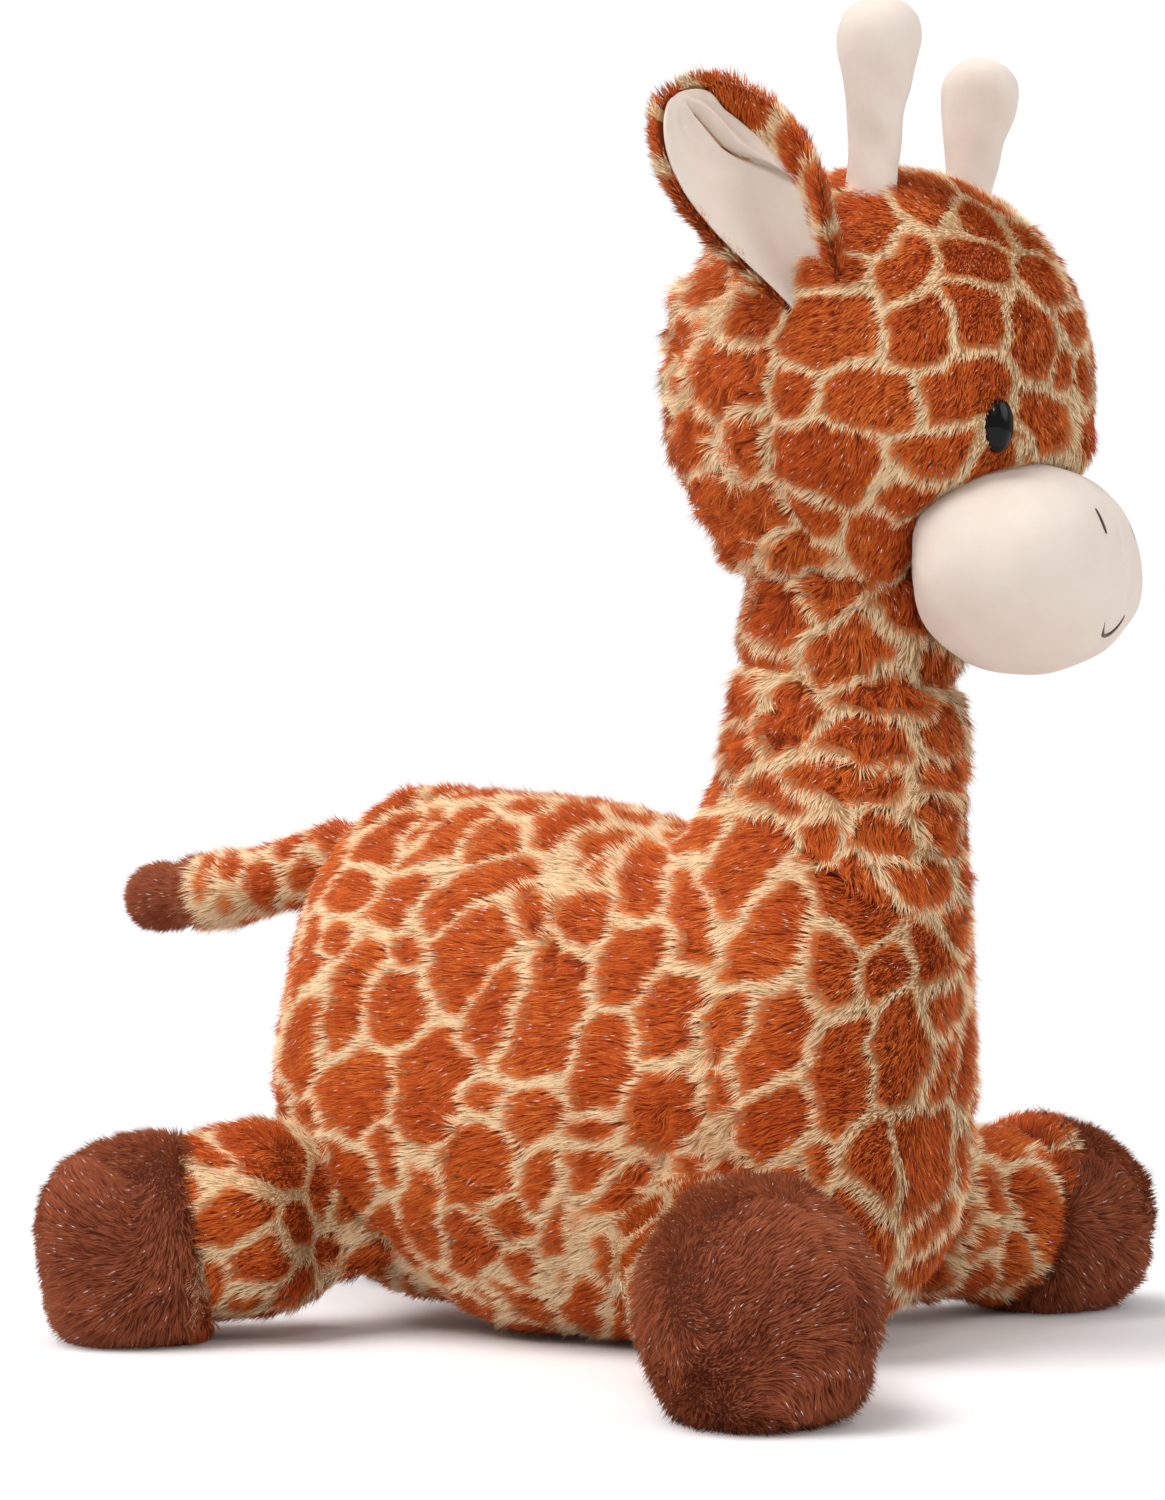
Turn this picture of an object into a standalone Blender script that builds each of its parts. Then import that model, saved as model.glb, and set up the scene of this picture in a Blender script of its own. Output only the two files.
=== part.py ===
"""A plush giraffe that lies on its belly: sewn skins over stuffing, four splayed legs, a nodding head,
ears, horns and a tail. It faces -Y with +Z up and rests on z = 0. Lengths are in metres.

Every skin is a loft: rings of points carried along a path, each ring a superellipse with its own half
width and half height. The same rings, drawn in by the fabric's wall, give the skin's inner face, and
drawn in a little more they give the stuffing.
"""

import math

import bmesh
import bpy
import numpy as np
from mathutils import Matrix, Vector

# Fabrics, seams and clearances
PILE_WALL = 0.005  # backing and pressed pile of the patterned and brown fabrics
VELOUR_WALL = 0.0018  # short cream pile of snout, horns and ear linings
SEAM_GAP = 0.0004  # between pieces that touch
FILL_GAP = 0.0008  # between a skin and the stuffing inside it
SWING_GAP = 0.0004  # between a limb's root and what it swings on
FLAT_DEPTH = 0.0005  # how deep the floor flattens what rests on it
ROUND_SIDES = 18
LIMB_SIDES = 12
SMALL_SIDES = 10
CREASE = math.radians(45)  # sharper edges than this aren't smoothed
ROUND_POWER = 2.0
PLUMP_POWER = 2.25  # stuffed cross-sections are a little squarer than an ellipse

# Torso
BODY_LENGTH = 0.321  # rump to chest
BACK_HEIGHT = 0.243
BODY_WIDTH = 0.184
CHEST_REACH = 0.193  # chest's front, measured forward from the origin
RUMP_TIP = CHEST_REACH - BODY_LENGTH  # forward reach of the rump's tip, so below zero
RUMP_CAP = 0.0815  # length over which the rump rounds off
RUMP_TIP_HEIGHT = 0.122
RUMP_POWER = 2.3
RUMP_RINGS = 4

# Neck and the pivot that the head nods about
NECK_RISE = 0.142  # the pivot above the back
NOD_PIVOT_HEIGHT = BACK_HEIGHT + NECK_RISE
NOD_PIVOT_SETBACK = 0.041  # behind the chest's front
NOD_PIVOT_REACH = CHEST_REACH - NOD_PIVOT_SETBACK
NAPE_DROP = 0.046  # the neck's top, below the pivot
THROAT_DROP = 0.005  # how much lower still it is at the throat
NECK_TOP_HEIGHT = NOD_PIVOT_HEIGHT - NAPE_DROP
NECK_WIDTH = 0.088
NECK_TOP_DEPTH = 0.090
NECK_RINGS = 4

# Head
HEAD_WIDTH = 0.180
HEAD_DEPTH = 0.180
HEAD_RISE = 0.124  # the crown above the pivot
HEAD_TOP_HEIGHT = NOD_PIVOT_HEIGHT + HEAD_RISE
HEAD_ADVANCE = 0.098  # the brow's front, forward of the pivot
HEAD_FRONT_REACH = NOD_PIVOT_REACH + HEAD_ADVANCE
NOD_BALL_RADIUS = 0.070  # the head's underside, a ball about the pivot
NOD_BALL_EDGE = math.radians(57)
NECK_OPENING_EDGE = math.radians(26)
BALL_RINGS = 3

# Snout
SNOUT_WIDTH = 0.130
SNOUT_HEIGHT = 0.087
SNOUT_LENGTH = 0.066  # seam to tip
SNOUT_DROP = 0.052  # its middle, below the pivot
SNOUT_CENTRE_HEIGHT = NOD_PIVOT_HEIGHT - SNOUT_DROP
SNOUT_SETBACK = 0.046  # its seam, behind the head's front
SNOUT_BACK_REACH = HEAD_FRONT_REACH - SNOUT_SETBACK
SNOUT_FRONT_REACH = SNOUT_BACK_REACH + SNOUT_LENGTH
NOSTRIL_SPREAD = 0.034
NOSTRIL_RISE = 0.016  # above the snout's middle
NOSTRIL_LENGTH = 0.0075
NOSTRIL_LEAN = math.radians(14)
SMILE_WIDTH = 0.020
SMILE_DROP = 0.0075
SMILE_RISE = -0.022
THREAD_RADIUS = 0.0007

# Eyes
EYE_SPREAD = 0.088
EYE_WIDTH = 0.0135
EYE_HEIGHT = 0.0205
EYE_CLEARANCE = 0.0009  # above the snout's top
EYE_BULGE = 0.0055
EYE_STEM_RADIUS = 0.0025
EYE_STEM_LENGTH = 0.015
EYE_SEAT = 0.0008
WASHER_RADIUS = 0.009
WASHER_THICKNESS = 0.002
WASHER_DEPTH = 0.0026  # below the skin's inner face

# Ears
EAR_LENGTH = 0.092
EAR_WIDTH = 0.070
EAR_ROOT_WIDTH = 0.044
EAR_ROOT_DEPTH = 0.011  # how far the leaf runs on into the head, before it is cut there
EAR_CUP = 0.017
EAR_LINING_MARGIN = 0.007
EAR_ROOT_SIDE = 0.079
EAR_ROOT_SETBACK = 0.093  # behind the head's front
EAR_ROOT_DROP = 0.062  # below the crown
EAR_TURN = math.radians(58)  # the way to the tip, turned from forward to the side and back
EAR_RISE = math.radians(51)
EAR_FACE_TURN = math.radians(26)  # the way the lining faces, turned out from forward
EAR_TIP_POWER = 2.2
EAR_ROWS = 8
EAR_COLUMNS = 7
EAR_SWING = math.radians(15)

# Horns
HORN_LENGTH = 0.072
HORN_STALK_RADIUS = 0.0098
HORN_BULB_RADIUS = 0.0172
HORN_ROOT_SIDE = 0.049
HORN_ROOT_SETBACK = 0.071
HORN_ROOT_DROP = 0.013
HORN_LEAN_SIDE = math.radians(5)
HORN_LEAN_FORWARD = math.radians(6)
HORN_SWING = math.radians(12)

# Legs
LEG_RADIUS = 0.0405
LEG_SEAM_WIDTH = 0.024  # the limb narrows to its seam, which is its hinge
LEG_SEAM_HEIGHT = 0.066
LEG_SWELL = 0.030
FOOT_RADIUS = 0.047
FOOT_LENGTH = 0.074
FOOT_POWER = 2.5
FRONT_ROOT_SINK = 0.016  # the seam's axis, inside the torso's widest line
FRONT_ROOT_SETBACK = 0.085  # behind the chest's front
FRONT_ROOT_HEIGHT = 0.060
FRONT_LEG_LENGTH = 0.168  # seam to the end of the foot
FRONT_RIGHT_SPLAY = math.radians(50)
FRONT_LEFT_SPLAY = math.radians(63)
HIND_ROOT_SINK = 0.028
HIND_ROOT_ADVANCE = 0.048  # forward of the rump's tip
HIND_ROOT_HEIGHT = 0.062
HIND_LEG_LENGTH = 0.134
HIND_SPLAY = math.radians(41)
LEG_SWING = math.radians(15)

# Tail
TAIL_ROOT_ADVANCE = 0.026  # forward of the rump's tip
TAIL_ROOT_DROP = 0.035  # below the back
TAIL_LENGTH = 0.143
TAIL_DROOP = math.radians(6)
TAIL_RADIUS = 0.0135
TAIL_SEAM_HEIGHT = 0.016
TAIL_SWELL = 0.018
TAIL_TIP_LENGTH = 0.036
TAIL_TIP_RADIUS = 0.0165
TAIL_SWING = math.radians(20)

# Colours as linear red, green, blue
PATCH_ORANGE = (0.46, 0.10, 0.018)
FOOT_BROWN = (0.14, 0.045, 0.018)
CREAM = (0.80, 0.68, 0.56)
FIBRE_WHITE = (0.85, 0.85, 0.83)
EYE_BLACK = (0.006, 0.006, 0.007)
THREAD_BROWN = (0.05, 0.025, 0.018)
WASHER_WHITE = (0.7, 0.7, 0.7)

SIDE = np.array([1.0, 0.0, 0.0])
FORWARD = np.array([0.0, -1.0, 0.0])
UP = np.array([0.0, 0.0, 1.0])

# The torso's rings from the rump's last full ring to the neck seam. A row holds the back's place and
# height, the belly's place and height, and the width, as shares of BODY_LENGTH (forward of the rump's
# tip), BACK_HEIGHT and BODY_WIDTH.
TORSO_SHARES = (
    (0.250, 0.972, 0.250, 0.054, 0.965),
    (0.330, 0.995, 0.330, 0.012, 0.990),
    (0.400, 1.000, 0.372, 0.000, 1.000),
    (0.480, 0.985, 0.500, 0.000, 1.000),
    (0.550, 0.950, 0.610, 0.000, 0.975),
    (0.600, 0.927, 0.710, 0.000, 0.945),
    (0.635, 0.932, 0.840, 0.030, 0.905),
    (0.656, 0.960, 0.948, 0.160, 0.835),
    (0.672, 1.000, 0.992, 0.410, 0.745),
    (0.684, 1.045, 1.000, 0.763, 0.640),
)
HEAD_MIDDLE_SHARE = 0.44  # where the head is widest, above the ball's edge
# The head's rings above the ball: height as a share of the head's height above the ball's edge, then
# the front's and the back's reach from the crown's line and the half width, as shares of half the depth
# and half the width.
HEAD_SHARES = (
    (0.07, 0.78, 0.78, 0.80),
    (0.16, 0.90, 0.89, 0.90),
    (0.28, 0.98, 0.96, 0.97),
    (0.44, 1.00, 1.00, 1.00),
    (0.61, 0.96, 0.955, 0.96),
    (0.76, 0.82, 0.81, 0.84),
    (0.88, 0.60, 0.60, 0.64),
    (0.96, 0.34, 0.34, 0.38),
)
# The snout's rings from its seam to its tip: shares of its length and of its half width and height.
SNOUT_SHARES = (
    (0.0, 0.90),
    (0.13, 0.965),
    (0.30, 1.0),
    (0.50, 0.975),
    (0.70, 0.86),
    (0.86, 0.66),
    (0.96, 0.38),
)
# A horn's rings: shares of its length, and of the stalk's radius up to the swell, then of the bulb's.
STALK_SHARES = (
    (-0.16, 1.00),
    (0.0, 1.00),
    (0.36, 1.00),
)
BULB_SHARES = (
    (0.56, 0.80),
    (0.72, 1.00),
    (0.86, 0.88),
    (0.96, 0.50),
)
SWELL_SHARES = (-0.5, 0.0, 0.33, 0.67, 1.0)
FOOT_SEAM_SHARE = 0.17  # how far along the foot it has widened in full
FOOT_END_SHARES = (0.0, 0.28, 0.55, 0.79, 0.93)  # of a quarter turn
TAIL_END_SHARES = (0.0, 0.38, 0.70)
EYE_DOME_SHARES = (0.0, 0.28, 0.56, 0.82)
EAR_WIDEST_SHARE = 0.45
EAR_LAST_ROW_SHARE = 0.99
EAR_TIP_SHARE = 0.025  # least half width, of the ear's width


def unit(vector):
    return vector / np.linalg.norm(vector)


def material(name, colour, roughness):
    made = bpy.data.materials.new(name)
    made.use_nodes = True
    shader = made.node_tree.nodes["Principled BSDF"]
    shader.inputs["Base Color"].default_value = (*colour, 1.0)
    shader.inputs["Roughness"].default_value = roughness
    made.diffuse_color = (*colour, 1.0)
    return made


def add_object(name, points, faces, finish):
    """One closed mesh object with its normals out and its round faces smooth."""
    mesh = bpy.data.meshes.new(name)
    mesh.from_pydata([tuple(p) for p in points], [], faces)
    shape = bmesh.new()
    shape.from_mesh(mesh)
    bmesh.ops.recalc_face_normals(shape, faces=shape.faces)
    shape.to_mesh(mesh)
    shape.free()
    mesh.shade_smooth()
    mesh.set_sharp_from_angle(angle=CREASE)
    mesh.materials.append(finish)
    obj = bpy.data.objects.new(name, mesh)
    bpy.context.scene.collection.objects.link(obj)
    return obj


def superellipse(sides, power):
    """Cosine and sine of each corner, raised to 2 / power, with a flat side at the bottom."""
    turn = (np.arange(sides) + 0.5) / sides * math.tau - math.pi / 2
    across, along = np.cos(turn), np.sin(turn)
    bend = 2.0 / power
    return np.sign(across) * abs(across) ** bend, np.sign(along) * abs(along) ** bend


def flat_share(sides, power):
    """How much of its half height a ring's flat top and bottom reach."""
    return math.cos(math.pi / sides) ** (2.0 / power)


def ring(centre, side, up, half_width, half_height, sides, power):
    across, along = superellipse(sides, power)
    return centre + np.outer(across * half_width, side) + np.outer(along * half_height, up)


def bridge(first, second, sides, back):
    """Triangles between two rings that start at these vertex numbers. On the way back along a path the
    other diagonal is taken, so that a skin's two faces and its stuffing bend along the same lines."""
    faces = []
    for k in range(sides):
        a, b, c, d = first + k, first + (k + 1) % sides, second + (k + 1) % sides, second + k
        faces += [(a, b, d), (b, c, d)] if back else [(a, b, c), (a, c, d)]
    return faces


def fan(start, pole, sides):
    return [(start + k, start + (k + 1) % sides, pole) for k in range(sides)]


def chain(name, rings, finish, loop=False, poles=None, back_from=None):
    """A closed mesh from a chain of rings: joined round where loop is set, and otherwise closed at both
    ends by a fan to a pole, which is the end ring's middle where none is given."""
    sides = len(rings[0])
    points = list(np.concatenate(rings))
    faces = []
    back_from = len(rings) if back_from is None else back_from
    for k in range(len(rings) - 1):
        faces += bridge(k * sides, (k + 1) * sides, sides, k >= back_from)
    last = (len(rings) - 1) * sides
    if loop:
        faces += bridge(last, 0, sides, False)
    else:
        ends = poles or (rings[0].mean(axis=0), rings[-1].mean(axis=0))
        faces += fan(0, len(points), sides) + fan(last, len(points) + 1, sides)
        points += list(ends)
    return add_object(name, points, faces, finish)


def shell(name, outer, inner, finish, poles=None):
    """A skin with a wall. With poles, as (outer pole, inner pole), it is closed at the first ring and
    open at the last; without, it is a tube that is open at both ends."""
    rings = list(outer) + list(inner)[::-1]
    return chain(name, rings, finish, loop=poles is None, poles=poles, back_from=len(outer))


def on_floor(points):
    """The form flattened where it would reach below the floor."""
    points = points.copy()
    points[:, 2] = np.maximum(points[:, 2], 0.0)
    return points


def cut(target, cutters, solver="EXACT"):
    """Takes each cutter away from the target, as live modifiers."""
    for cutter in cutters:
        modifier = target.modifiers.new(cutter.name, "BOOLEAN")
        modifier.operation = "DIFFERENCE"
        modifier.solver = solver
        modifier.object = cutter


def hide(cutter):
    cutter.hide_render = True
    cutter.display_type = "WIRE"
    return cutter


def swung(cutter, pivot, axis, angles):
    """Copies of a cutter turned about a joint, so that what they cut stays clear through its range."""
    copies = []
    for number, angle in enumerate(angles):
        copy = bpy.data.objects.new(f"{cutter.name}_swung_{number}", cutter.data.copy())
        turn = turning(axis, angle)
        count = len(copy.data.vertices)
        flat = np.empty(count * 3)
        copy.data.vertices.foreach_get("co", flat)
        placed = (flat.reshape(-1, 3) - pivot) @ turn.T + pivot
        copy.data.vertices.foreach_set("co", placed.ravel())
        bpy.context.scene.collection.objects.link(copy)
        copies.append(hide(copy))
    return copies


def turning(axis, angle):
    """The rotation matrix of a turn about an axis through the origin (Rodrigues)."""
    x, y, z = unit(np.array(axis, float))
    cross = np.array([[0, -z, y], [z, 0, -x], [-y, x, 0]])
    return np.eye(3) + math.sin(angle) * cross + (1 - math.cos(angle)) * cross @ cross


# Torso and neck

def body_place(forward_share, height_share):
    """A point on the middle plane from shares of the body's length and the back's height."""
    reach = RUMP_TIP + forward_share * BODY_LENGTH
    return FORWARD * reach + UP * height_share * BACK_HEIGHT


def body_section(back, belly, width, inset, power=PLUMP_POWER):
    """The ring between a back point and a belly point, drawn in by inset."""
    along = unit(back - belly)
    half_height = (np.linalg.norm(back - belly) / 2 - inset) / flat_share(ROUND_SIDES, power)
    centre = (back + belly) / 2
    return ring(centre, SIDE, along, width / 2 - inset, half_height, ROUND_SIDES, power)


def torso_rings(inset, settle=False):
    """From the rump's smallest ring to the neck seam."""
    row = TORSO_SHARES[0]
    back, belly = body_place(*row[:2]), body_place(*row[2:4])
    middle = (back + belly) / 2
    tip = rump_pole(0)
    half_height = (np.linalg.norm(back - belly) / 2 - inset) / flat_share(ROUND_SIDES, PLUMP_POWER)
    half_width = row[4] * BODY_WIDTH / 2 - inset
    rings = []
    for step in (np.arange(RUMP_RINGS) + 0.5) / RUMP_RINGS:
        go = math.cos(step * math.pi / 2)
        size = (1 - go**RUMP_POWER) ** (1 / RUMP_POWER)
        centre = middle + (tip - middle) * go * (1 - inset / RUMP_CAP)
        wide, high = half_width * size, half_height * size
        rings.append(ring(centre, SIDE, UP, wide, high, ROUND_SIDES, PLUMP_POWER))
    for row in TORSO_SHARES:
        back, belly = body_place(*row[:2]), body_place(*row[2:4])
        rings.append(body_section(back, belly, row[4] * BODY_WIDTH, inset))
    if settle:
        rings = [on_floor(made - UP * FLAT_DEPTH) for made in rings]
    return rings


def rump_pole(inset):
    return FORWARD * (RUMP_TIP + inset) + UP * RUMP_TIP_HEIGHT


def seam_direction():
    """The way out of the torso through the neck seam, square to its plane."""
    row = TORSO_SHARES[-1]
    back, belly = body_place(*row[:2]), body_place(*row[2:4])
    along = unit(back - belly)
    return np.array([0.0, -along[2], along[1]])


def neck_rings(inset):
    """From the neck seam to the throat and nape."""
    row = TORSO_SHARES[-1]
    back, belly = body_place(*row[:2]), body_place(*row[2:4])
    lift = seam_direction() * SEAM_GAP
    nape = FORWARD * (CHEST_REACH - NECK_TOP_DEPTH) + UP * NECK_TOP_HEIGHT
    throat = FORWARD * CHEST_REACH + UP * (NECK_TOP_HEIGHT - THROAT_DROP)
    rings = []
    for share in np.linspace(0, 1, NECK_RINGS):
        width = NECK_WIDTH + (row[4] * BODY_WIDTH - NECK_WIDTH) * (1 - share) ** 2
        power = ROUND_POWER + (PLUMP_POWER - ROUND_POWER) * (1 - share)
        start = back + (nape - back) * share + lift
        end = belly + (throat - belly) * share + lift
        rings.append(body_section(start, end, width, inset, power))
    return rings


def nod_pivot():
    return FORWARD * NOD_PIVOT_REACH + UP * NOD_PIVOT_HEIGHT


def head_rings(inset, opening):
    """The ball about the nod pivot from its opening edge up, then the head's own rings to the crown."""
    rings = []
    for edge in np.linspace(opening, NOD_BALL_EDGE, BALL_RINGS):
        radius = NOD_BALL_RADIUS - inset
        centre = nod_pivot() - UP * radius * math.cos(edge)
        size = radius * math.sin(edge)
        rings.append(ring(centre, SIDE, FORWARD * -1, size, size, ROUND_SIDES, ROUND_POWER))
    base = NOD_PIVOT_HEIGHT - NOD_BALL_RADIUS * math.cos(NOD_BALL_EDGE)
    rise = HEAD_TOP_HEIGHT - base
    middle = head_middle_height()
    crown = HEAD_FRONT_REACH - HEAD_DEPTH / 2
    for height_share, front, back, wide in HEAD_SHARES:
        height = base + height_share * rise
        height = middle + (height - middle) * (1 - inset / (rise / 2))
        depth = (front + back) / 2 * HEAD_DEPTH / 2 - inset
        reach = crown + (front - back) / 2 * HEAD_DEPTH / 2
        centre = FORWARD * reach + UP * height
        width = wide * HEAD_WIDTH / 2 - inset
        rings.append(ring(centre, SIDE, FORWARD * -1, width, depth, ROUND_SIDES, ROUND_POWER))
    return rings


def head_crown(inset):
    return FORWARD * (HEAD_FRONT_REACH - HEAD_DEPTH / 2) + UP * (HEAD_TOP_HEIGHT - inset)


def build_torso_and_neck(patterned, fibre):
    outer, inner = torso_rings(0, settle=True), torso_rings(PILE_WALL)
    fill = torso_rings(PILE_WALL + FILL_GAP)
    shell("torso_skin", outer, inner, patterned, (rump_pole(0), rump_pole(PILE_WALL)))
    mouth = fill[-1].mean(axis=0)
    chain("torso_stuffing", fill, fibre, poles=(rump_pole(PILE_WALL + FILL_GAP), mouth))
    skin = shell("neck_skin", neck_rings(0), neck_rings(PILE_WALL), patterned)
    stuffing = chain("neck_stuffing", neck_rings(PILE_WALL + FILL_GAP), fibre)
    dish = ball_cutter()
    cut(skin, [dish])
    cut(stuffing, [dish])


def ball_cutter():
    """A ball about the nod pivot that leaves the swing gap round the head's underside."""
    shape = bmesh.new()
    radius = (NOD_BALL_RADIUS + SWING_GAP) / math.cos(math.pi / ROUND_SIDES)
    bmesh.ops.create_uvsphere(shape, u_segments=ROUND_SIDES, v_segments=ROUND_SIDES, radius=radius)
    bmesh.ops.translate(shape, vec=Vector(nod_pivot()), verts=shape.verts)
    mesh = bpy.data.meshes.new("neck_dish")
    shape.to_mesh(mesh)
    shape.free()
    dish = bpy.data.objects.new("neck_dish", mesh)
    bpy.context.scene.collection.objects.link(dish)
    return hide(dish)


def torso_cutter(finish):
    rings = torso_rings(-SWING_GAP)
    start, end = rump_pole(-SWING_GAP), rings[-1].mean(axis=0)
    return hide(chain("torso_envelope", rings, finish, poles=(start, end)))


def head_cutter(finish):
    rings = head_rings(-SWING_GAP, NECK_OPENING_EDGE)[::-1]
    bottom = nod_pivot() - UP * (NOD_BALL_RADIUS + SWING_GAP)
    return hide(chain("head_envelope", rings, finish, poles=(head_crown(-SWING_GAP), bottom)))


# Head

def head_front(across, height):
    """The point of the head's front at this distance across and this height, read off its rings."""
    levels, reaches = [], []
    for made in head_rings(0, NECK_OPENING_EDGE):
        front = made[made[:, 1] < made[:, 1].mean()]
        front = front[np.argsort(front[:, 0])]
        levels.append(made[:, 2].mean())
        reaches.append(np.interp(across, front[:, 0], front[:, 1]))
    return np.array([across, np.interp(height, levels, reaches), height])


def eye_place(side):
    """Where the eye sits on the head, and the way it looks: square to the head's front there."""
    reach = EYE_HEIGHT / 2
    across = side * EYE_SPREAD / 2
    height = SNOUT_CENTRE_HEIGHT + SNOUT_HEIGHT / 2 + EYE_CLEARANCE + reach
    place = head_front(across, height)
    over = head_front(across + reach, height) - head_front(across - reach, height)
    rise = head_front(across, height + reach) - head_front(across, height - reach)
    return place, unit(np.cross(over, rise))


def head_middle_height():
    base = NOD_PIVOT_HEIGHT - NOD_BALL_RADIUS * math.cos(NOD_BALL_EDGE)
    return base + HEAD_MIDDLE_SHARE * (HEAD_TOP_HEIGHT - base)


def upright_frame(out):
    """Side and up directions square to the way a piece points, with up as near +Z as it can be."""
    side = unit(np.cross(UP, out))
    return side, np.cross(out, side)


def stack(name, base, out, steps, finish, sides=SMALL_SIDES):
    """Rings at (distance along out, half width, half height) from a base point."""
    side, up = upright_frame(out)
    rings = [ring(base + out * at, side, up, wide, high, sides, ROUND_POWER) for at, wide, high in steps]
    return chain(name, rings, finish)


def build_eye(side, word, finishes, head_skin, head_stuffing):
    place, out = eye_place(side)
    wide, high = EYE_WIDTH / 2, EYE_HEIGHT / 2
    stem = EYE_STEM_RADIUS
    dome = [
        (EYE_SEAT + math.sin(turn) * EYE_BULGE, wide * math.cos(turn), high * math.cos(turn))
        for turn in np.array(EYE_DOME_SHARES) * math.pi / 2
    ]
    steps = [(-EYE_STEM_LENGTH, stem, stem), (EYE_SEAT, stem, stem)] + dome
    stack(f"eye_{word}", place, out, steps, finishes["eye"])
    hole = stem + SEAM_GAP
    washer_out = -PILE_WALL - WASHER_DEPTH
    washer_in = washer_out - WASHER_THICKNESS
    pocket = WASHER_RADIUS + SEAM_GAP
    bottom = -EYE_STEM_LENGTH - SEAM_GAP
    bore_steps = [(bottom, hole, hole), (EYE_BULGE, hole, hole)]
    cut(head_skin, [hide(stack(f"eye_bore_{word}", place, out, bore_steps, finishes["eye"]))])
    pocket_steps = [
        (bottom, hole, hole),
        (washer_in - SEAM_GAP, hole, hole),
        (washer_in - SEAM_GAP, pocket, pocket),
        (0, pocket, pocket),
    ]
    cut(head_stuffing, [hide(stack(f"eye_pocket_{word}", place, out, pocket_steps, finishes["washer"]))])
    side_axis, up_axis = upright_frame(out)
    profile = [(washer_in, hole), (washer_in, WASHER_RADIUS), (washer_out, WASHER_RADIUS), (washer_out, hole)]
    rings = [
        ring(place + out * at, side_axis, up_axis, radius, radius, SMALL_SIDES, ROUND_POWER)
        for at, radius in profile
    ]
    chain(f"eye_washer_{word}", rings, finishes["washer"], loop=True)


def snout_rings(inset):
    """The snout's rings from its seam to its last ring before the tip."""
    length = SNOUT_FRONT_REACH - SNOUT_BACK_REACH - inset
    rings = []
    for go, size in SNOUT_SHARES:
        centre = FORWARD * (SNOUT_BACK_REACH + go * length) + UP * SNOUT_CENTRE_HEIGHT
        wide, high = (SNOUT_WIDTH / 2 - inset) * size, (SNOUT_HEIGHT / 2 - inset) * size
        rings.append(ring(centre, SIDE, UP, wide, high, ROUND_SIDES, ROUND_POWER))
    return rings


def snout_front(across, rise):
    """The point just off the snout's front at this distance across and above its middle."""
    out = math.hypot(across / (SNOUT_WIDTH / 2), rise / (SNOUT_HEIGHT / 2))
    closing = [row for row in SNOUT_SHARES if row[0] >= SNOUT_SHARES[2][0]] + [(1.0, 0.0)]
    go = np.interp(out, [row[1] for row in closing[::-1]], [row[0] for row in closing[::-1]])
    reach = SNOUT_BACK_REACH + go * (SNOUT_FRONT_REACH - SNOUT_BACK_REACH)
    lift = THREAD_RADIUS + SEAM_GAP
    return FORWARD * (reach + lift) + SIDE * across + UP * (SNOUT_CENTRE_HEIGHT + rise)


def build_stitch(name, path, finish):
    """A thread along a path over the snout."""
    curve = bpy.data.curves.new(name, "CURVE")
    curve.dimensions = "3D"
    curve.bevel_depth = THREAD_RADIUS
    curve.bevel_resolution = 1
    curve.use_fill_caps = True
    spline = curve.splines.new("POLY")
    spline.points.add(len(path) - 1)
    for point, place in zip(spline.points, path):
        point.co = (*place, 1.0)
    curve.materials.append(finish)
    obj = bpy.data.objects.new(name, curve)
    bpy.context.scene.collection.objects.link(obj)


def build_head(finishes, envelope):
    opening = NECK_OPENING_EDGE
    outer, inner = head_rings(0, opening), head_rings(PILE_WALL, opening)
    crowns = (head_crown(0), head_crown(PILE_WALL))
    skin = shell("head_skin", outer[::-1], inner[::-1], finishes["patterned"], crowns)
    inset = PILE_WALL + FILL_GAP
    bottom = nod_pivot() - UP * (NOD_BALL_RADIUS - inset)
    fill = head_rings(inset, opening)[::-1]
    stuffing = chain("head_stuffing", fill, finishes["fibre"], poles=(head_crown(inset), bottom))
    for side, word in ((-1, "right"), (1, "left")):
        build_eye(side, word, finishes, skin, stuffing)
    build_snout(finishes, envelope)
    build_face_stitches(finishes["thread"])


def build_snout(finishes, envelope):
    tip = FORWARD * SNOUT_FRONT_REACH + UP * SNOUT_CENTRE_HEIGHT
    outer, inner = snout_rings(0)[::-1], snout_rings(VELOUR_WALL)[::-1]
    skin = shell("snout_skin", outer, inner, finishes["cream"], (tip, tip - FORWARD * VELOUR_WALL))
    inset = VELOUR_WALL + FILL_GAP
    back = FORWARD * SNOUT_BACK_REACH + UP * SNOUT_CENTRE_HEIGHT
    fill = snout_rings(inset)[::-1]
    stuffing = chain("snout_stuffing", fill, finishes["fibre"], poles=(tip - FORWARD * inset, back))
    cut(skin, [envelope])
    cut(stuffing, [envelope])


def build_face_stitches(thread):
    shares = np.linspace(-1, 1, 5)
    for side, word in ((-1, "right"), (1, "left")):
        path = []
        for share in shares:
            rise = share * NOSTRIL_LENGTH / 2
            across = side * NOSTRIL_SPREAD / 2 - rise * math.tan(NOSTRIL_LEAN)
            path.append(snout_front(across, NOSTRIL_RISE + rise))
        build_stitch(f"nostril_stitch_{word}", path, thread)
    path = []
    for share in np.linspace(-1, 1, 9):
        path.append(snout_front(share * SMILE_WIDTH / 2, SMILE_RISE - SMILE_DROP * (1 - share**2)))
    build_stitch("smile_stitch", path, thread)


# Limbs

def limb_rings(root, out, stations, inset, sides=LIMB_SIDES, settle=False):
    """Rings at (distance, half width, half height) along a limb."""
    side, up = upright_frame(out)
    rings = []
    for at, wide, high in stations:
        made = ring(root + out * at, side, up, wide - inset, high - inset, sides, ROUND_POWER)
        rings.append(on_floor(made) if settle else made)
    return rings


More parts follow.
